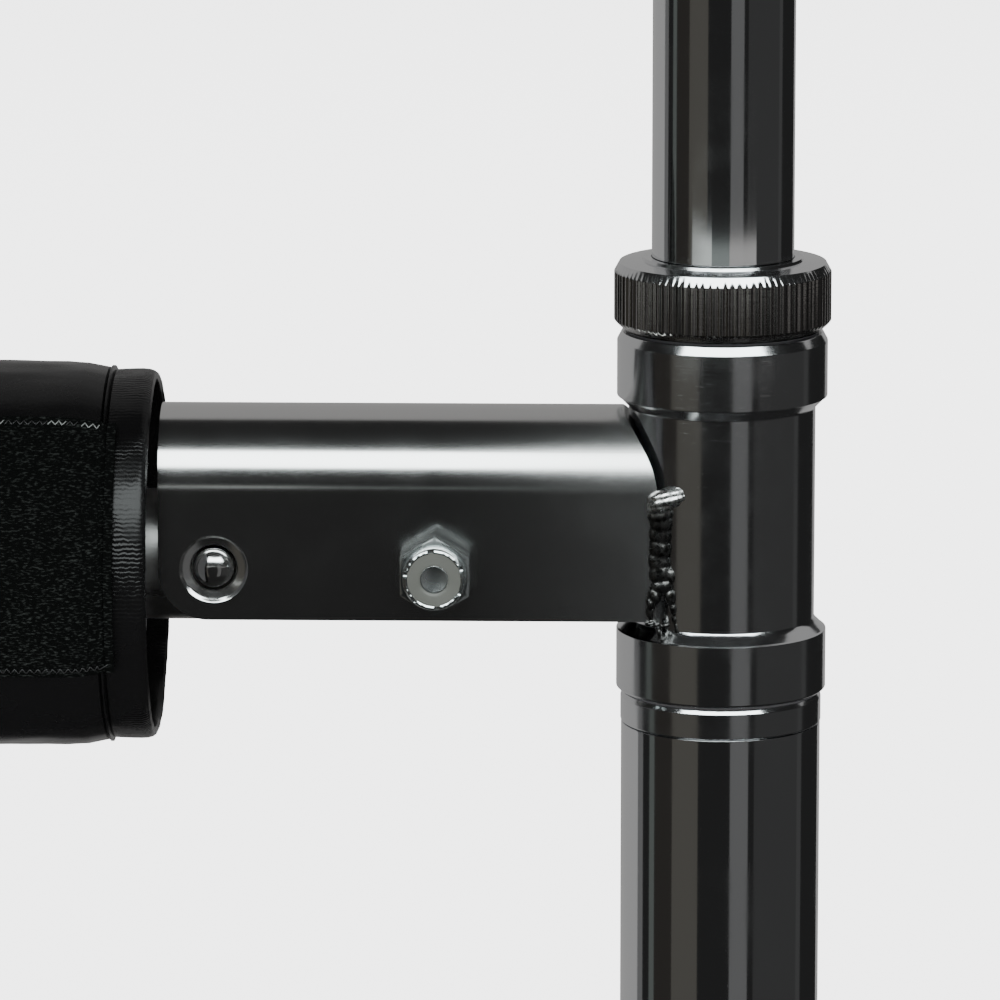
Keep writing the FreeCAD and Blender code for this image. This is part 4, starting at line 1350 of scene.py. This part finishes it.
tape = lay_tape()
apply_modifier(
    tape, "SHRINKWRAP", target=cover, wrap_method="PROJECT", use_negative_direction=True,
    use_positive_direction=True, offset=tape_lift, wrap_mode="ABOVE_SURFACE",
)
pile = bpy.data.textures.new("loop_pile", "CLOUDS")
pile.noise_scale = 1.1 * mm
pile.noise_depth = 2
inner_pile = tape.vertex_groups.new(name="pile")
for vertex in tape.data.vertices:
    angle = math.atan2(vertex.co.z - pivot.z, -vertex.co.y) - tape_tilt
    out = pivot.x - vertex.co.x
    from_edge = min((tape_half_angle - abs(angle)) * full_radius, out - tape_start, tape_end - out)
    inner_pile.add([vertex.index], min(1.0, max(0.0, from_edge / (3.4 * mm) - 0.35)), "REPLACE")
apply_modifier(
    tape, "DISPLACE", texture=pile, texture_coords="LOCAL", strength=0.55 * mm, mid_level=0.25,
    vertex_group="pile",
)
apply_modifier(tape, "SOLIDIFY", thickness=0.65 * mm, offset=-1)
bpy.ops.object.shade_smooth_by_angle(angle=math.radians(60))

loop_pile, tree, shader = new_material("loop_pile", (0.004, 0.0045, 0.004), 0.9)
shader.inputs["Specular IOR Level"].default_value = 0.04
loops = object_noise(tree, (0.6, 1, 1.9), 1750, 2)
tone = tree.nodes.new("ShaderNodeValToRGB")
tone.color_ramp.elements[0].color = (0.0008, 0.001, 0.0009, 1)
tone.color_ramp.elements[0].position = 0.54
tone.color_ramp.elements[1].color = (0.0125, 0.0145, 0.0135, 1)
tone.color_ramp.elements[1].position = 0.74
tree.links.new(loops.outputs["Fac"], tone.inputs["Fac"])
tree.links.new(tone.outputs["Color"], shader.inputs["Base Color"])
bump = tree.nodes.new("ShaderNodeBump")
bump.inputs["Distance"].default_value = 0.5 * mm
bump.inputs["Strength"].default_value = 0.9
tree.links.new(loops.outputs["Fac"], bump.inputs["Height"])
tree.links.new(bump.outputs["Normal"], shader.inputs["Normal"])
tape.data.materials.append(loop_pile)
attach(tape, "arm")
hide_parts("loop_tape")


def on_tape(out, angle):
    """The nearest place on the tape's own surface, with a thread's height under it."""
    nearest, normal = tape.closest_point_on_mesh(on_roll(out, angle, 2.5 * mm))[1:3]
    return nearest + normal * 0.07 * mm


def sew_zigzag(name, angle, material, first, last):
    """Sew one run of zigzag stitches along the tape's edge, as short lengths of thread bedded in the pile."""
    bpy.ops.object.select_all(action="DESELECT")
    pitch = 0.72 * mm
    count = int((last - first) / pitch)
    half_width = 0.5 * mm / full_radius
    thread = 0.11 * mm
    bpy.ops.mesh.primitive_cylinder_add(vertices=6, radius=thread, depth=1, location=(0, 0, 0))
    stitch = bpy.context.object
    stitch.name = stitch.data.name = name
    bpy.ops.object.mode_set(mode="EDIT")
    bpy.ops.mesh.select_all(action="SELECT")
    bpy.ops.mesh.subdivide(number_cuts=1)
    bpy.ops.object.mode_set(mode="OBJECT")
    stitches = [stitch]
    for index in range(count):
        side = 1 if index % 2 else -1
        start = on_tape(first + index * pitch, angle - side * half_width)
        end = on_tape(first + (index + 1) * pitch, angle + side * half_width)
        copy = stitch.copy()
        copy.data = stitch.data.copy()
        bpy.context.collection.objects.link(copy)
        run = end - start
        copy.matrix_world = (
            Matrix.Translation((start + end) / 2)
            @ run.to_track_quat("Z", "Y").to_matrix().to_4x4()
            @ Matrix.Diagonal((1, 1, run.length, 1))
        )
        stitches.append(copy)
    bpy.data.objects.remove(stitches.pop(0))
    for copy in stitches:
        copy.select_set(True)
    bpy.context.view_layer.objects.active = stitches[0]
    bpy.ops.object.join()
    seam = bpy.context.object
    seam.name = seam.data.name = name
    bpy.ops.object.transform_apply(location=True, rotation=True, scale=True)
    bpy.ops.object.shade_smooth()
    seam.data.materials.clear()
    seam.data.materials.append(material)
    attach(seam, "arm")


black_thread, tree, shader = new_material("black_thread", (0.008, 0.008, 0.0085), 0.6)
twist = object_noise(tree, (1, 1, 1), 4200, 2)
rub = ramp(tree, twist.outputs["Fac"], 0.35, 0.65, 0.7, 0.4)
tree.links.new(rub.outputs["Result"], shader.inputs["Roughness"])
pale_thread, tree, shader = new_material("pale_thread", (0.10, 0.11, 0.105), 0.5)
twist = object_noise(tree, (1, 1, 1), 4200, 2)
rub = ramp(tree, twist.outputs["Fac"], 0.35, 0.65, 0.65, 0.35)
tree.links.new(rub.outputs["Result"], shader.inputs["Roughness"])

upper_edge = tape_tilt + tape_half_angle - 1.5 * mm / full_radius
lower_edge = tape_tilt - tape_half_angle + 1.5 * mm / full_radius
near_end = tape_start + 1.2 * mm
far_end = tape_end - 1.2 * mm
# Where the pale bobbin thread shows along the upper edge, in millimetres out from the roll's near end.
PALE_RUNS = (
    (8.7, 13.0), (15.2, 18.9), (27.0, 30.5), (48.0, 53.0), (81.0, 84.0), (120.0, 126.0), (161.0, 164.5),
)
position = near_end
for number, (run_start, run_end) in enumerate(PALE_RUNS, 1):
    pale_start = pad_start + run_start * mm
    pale_end = pad_start + run_end * mm
    if pale_start - position > 2 * mm:
        sew_zigzag("upper_stitches_%d" % number, upper_edge, black_thread, position, pale_start)
    sew_zigzag("pale_stitches_%d" % number, upper_edge, pale_thread, pale_start, pale_end)
    position = pale_end
sew_zigzag("upper_stitches_8", upper_edge, black_thread, position, far_end)
sew_zigzag("lower_stitches", lower_edge, black_thread, near_end, far_end)

# ---------------------------------------------------------------------------------------------------
# Studio: a pale floor, soft lamps for the matt pieces, and a ring of cards that only the plated
# metal and the coated fabric see, a tall one in front, pale ones behind and darker ones between.
# ---------------------------------------------------------------------------------------------------
bpy.ops.object.select_all(action="DESELECT")
bpy.ops.mesh.primitive_plane_add(size=24, location=(0, 0, -0.0005))
floor = bpy.context.object
floor.name = "floor"
pale_floor, tree, shader = new_material("floor", (0.93, 0.93, 0.93), 0.9)
shader.inputs["Emission Color"].default_value = (1, 1, 1, 1)
shader.inputs["Emission Strength"].default_value = 2.2
floor.data.materials.append(pale_floor)
floor.visible_glossy = False

middle = Vector((-0.0422, 0, 0.3025))


def hang_card(name, azimuths, elevations, strength, tint=(1, 1, 1), centre=middle, distance=3.0, steps=24):
    """Hang a curved glowing card between two azimuths, 0 being in front, and two elevations, in degrees."""
    bpy.ops.object.select_all(action="DESELECT")
    bpy.ops.mesh.primitive_grid_add(x_subdivisions=steps, y_subdivisions=12, size=1)
    card = bpy.context.object
    card.name = card.data.name = name
    for vertex in card.data.vertices:
        azimuth = math.radians(azimuths[0] + (vertex.co.x + 0.5) * (azimuths[1] - azimuths[0]))
        elevation = math.radians(elevations[0] + (vertex.co.y + 0.5) * (elevations[1] - elevations[0]))
        level = math.cos(elevation) * distance
        vertex.co = centre + Vector((
            level * math.sin(azimuth), -level * math.cos(azimuth), math.sin(elevation) * distance))
    material = bpy.data.materials.new(name)
    material.use_nodes = True
    nodes_here = material.node_tree.nodes
    nodes_here.clear()
    glow = nodes_here.new("ShaderNodeEmission")
    glow.inputs["Color"].default_value = (*tint, 1)
    glow.inputs["Strength"].default_value = strength
    result = nodes_here.new("ShaderNodeOutputMaterial")
    material.node_tree.links.new(glow.outputs["Emission"], result.inputs["Surface"])
    card.data.materials.append(material)
    card.visible_camera = False
    card.visible_diffuse = False
    card.visible_shadow = False
    card.visible_transmission = False
    card.visible_volume_scatter = False


hang_card("dark_tent", (-180, 180), (-90, 90), 0.02, distance=4.0, steps=72)
hang_card("front_card", (-52, 56), (28, 53.5), 8.0, (0.93, 1.0, 1.0))
hang_card("back_left_card", (-180, -111), (-40, 68), 0.37, (1.0, 0.99, 0.98))
hang_card("back_right_card", (152, 180), (-40, 68), 0.37, (1.0, 0.99, 0.98))
hang_card("back_high_card", (111, 152), (20, 68), 0.37, (1.0, 0.99, 0.98))
hang_card("left_edge_card", (-111, -101), (-40, 25), 0.14)
hang_card("left_strip", (-90, -82), (-40, 25), 0.11, (0.9, 1.0, 0.94))
hang_card("left_front_card", (-57, -25), (-40, 12), 0.085, (1.0, 0.95, 0.84))
hang_card("left_front_shade", (-82, -57), (-40, 12), 0.03, (1.0, 0.92, 0.84))
hang_card("front_strip", (12, 33), (-40, 12), 0.13)
hang_card("right_shade", (40, 100), (-40, 12), 0.045)
hang_card("right_strip", (100, 108), (-40, 12), 0.06)
low_card_centre = Vector((0, 0, middle.z))
hang_card("low_card", (-50, -18), (-0.5, 1.25), 0.85, (0.94, 1.0, 0.97), low_card_centre, 0.3)
hang_card("low_card_shade", (-18, 10), (-0.5, 0.95), 0.34, (0.9, 1.0, 0.97), low_card_centre, 0.3)
hang_card("low_card_right", (10, 54), (-0.5, 1.1), 0.5, (1.0, 0.98, 0.96), low_card_centre, 0.3)


def hang_lamp(name, location, size, power):
    """Hang a soft lamp that points at the middle of the object and isn't seen in the plating."""
    bpy.ops.object.light_add(type="AREA", location=location)
    lamp = bpy.context.object
    lamp.name = name
    lamp.data.size = size
    lamp.data.energy = power
    lamp.rotation_euler = (middle - Vector(location)).to_track_quat("-Z", "Y").to_euler()
    lamp.visible_glossy = False


hang_lamp("key_lamp", (-1.2, -1.8, 2.2), 1.6, 40)
hang_lamp("fill_lamp", (1.8, -1.4, 1.6), 1.8, 22)
hang_lamp("back_lamp", (0.3, 2.4, 2.4), 2.2, 60)

world = bpy.data.worlds.new("studio")
world.use_nodes = True
world.node_tree.nodes["Background"].inputs["Color"].default_value = (0.95, 0.96, 0.97, 1)
world.node_tree.nodes["Background"].inputs["Strength"].default_value = 1.5
bpy.context.scene.world = world

elevation = math.radians(11.2)
azimuth = math.radians(1.5)
reach = 1.429
outward = Vector((
    math.sin(azimuth) * math.cos(elevation),
    -math.cos(azimuth) * math.cos(elevation),
    math.sin(elevation),
))
bpy.ops.object.camera_add(location=middle + outward * reach)
camera = bpy.context.object
camera.name = "camera"
camera.data.lens = 270
camera.data.sensor_width = 36
camera.data.clip_end = 50
camera.rotation_euler = (middle - camera.location).to_track_quat("-Z", "Y").to_euler()
bpy.context.scene.camera = camera
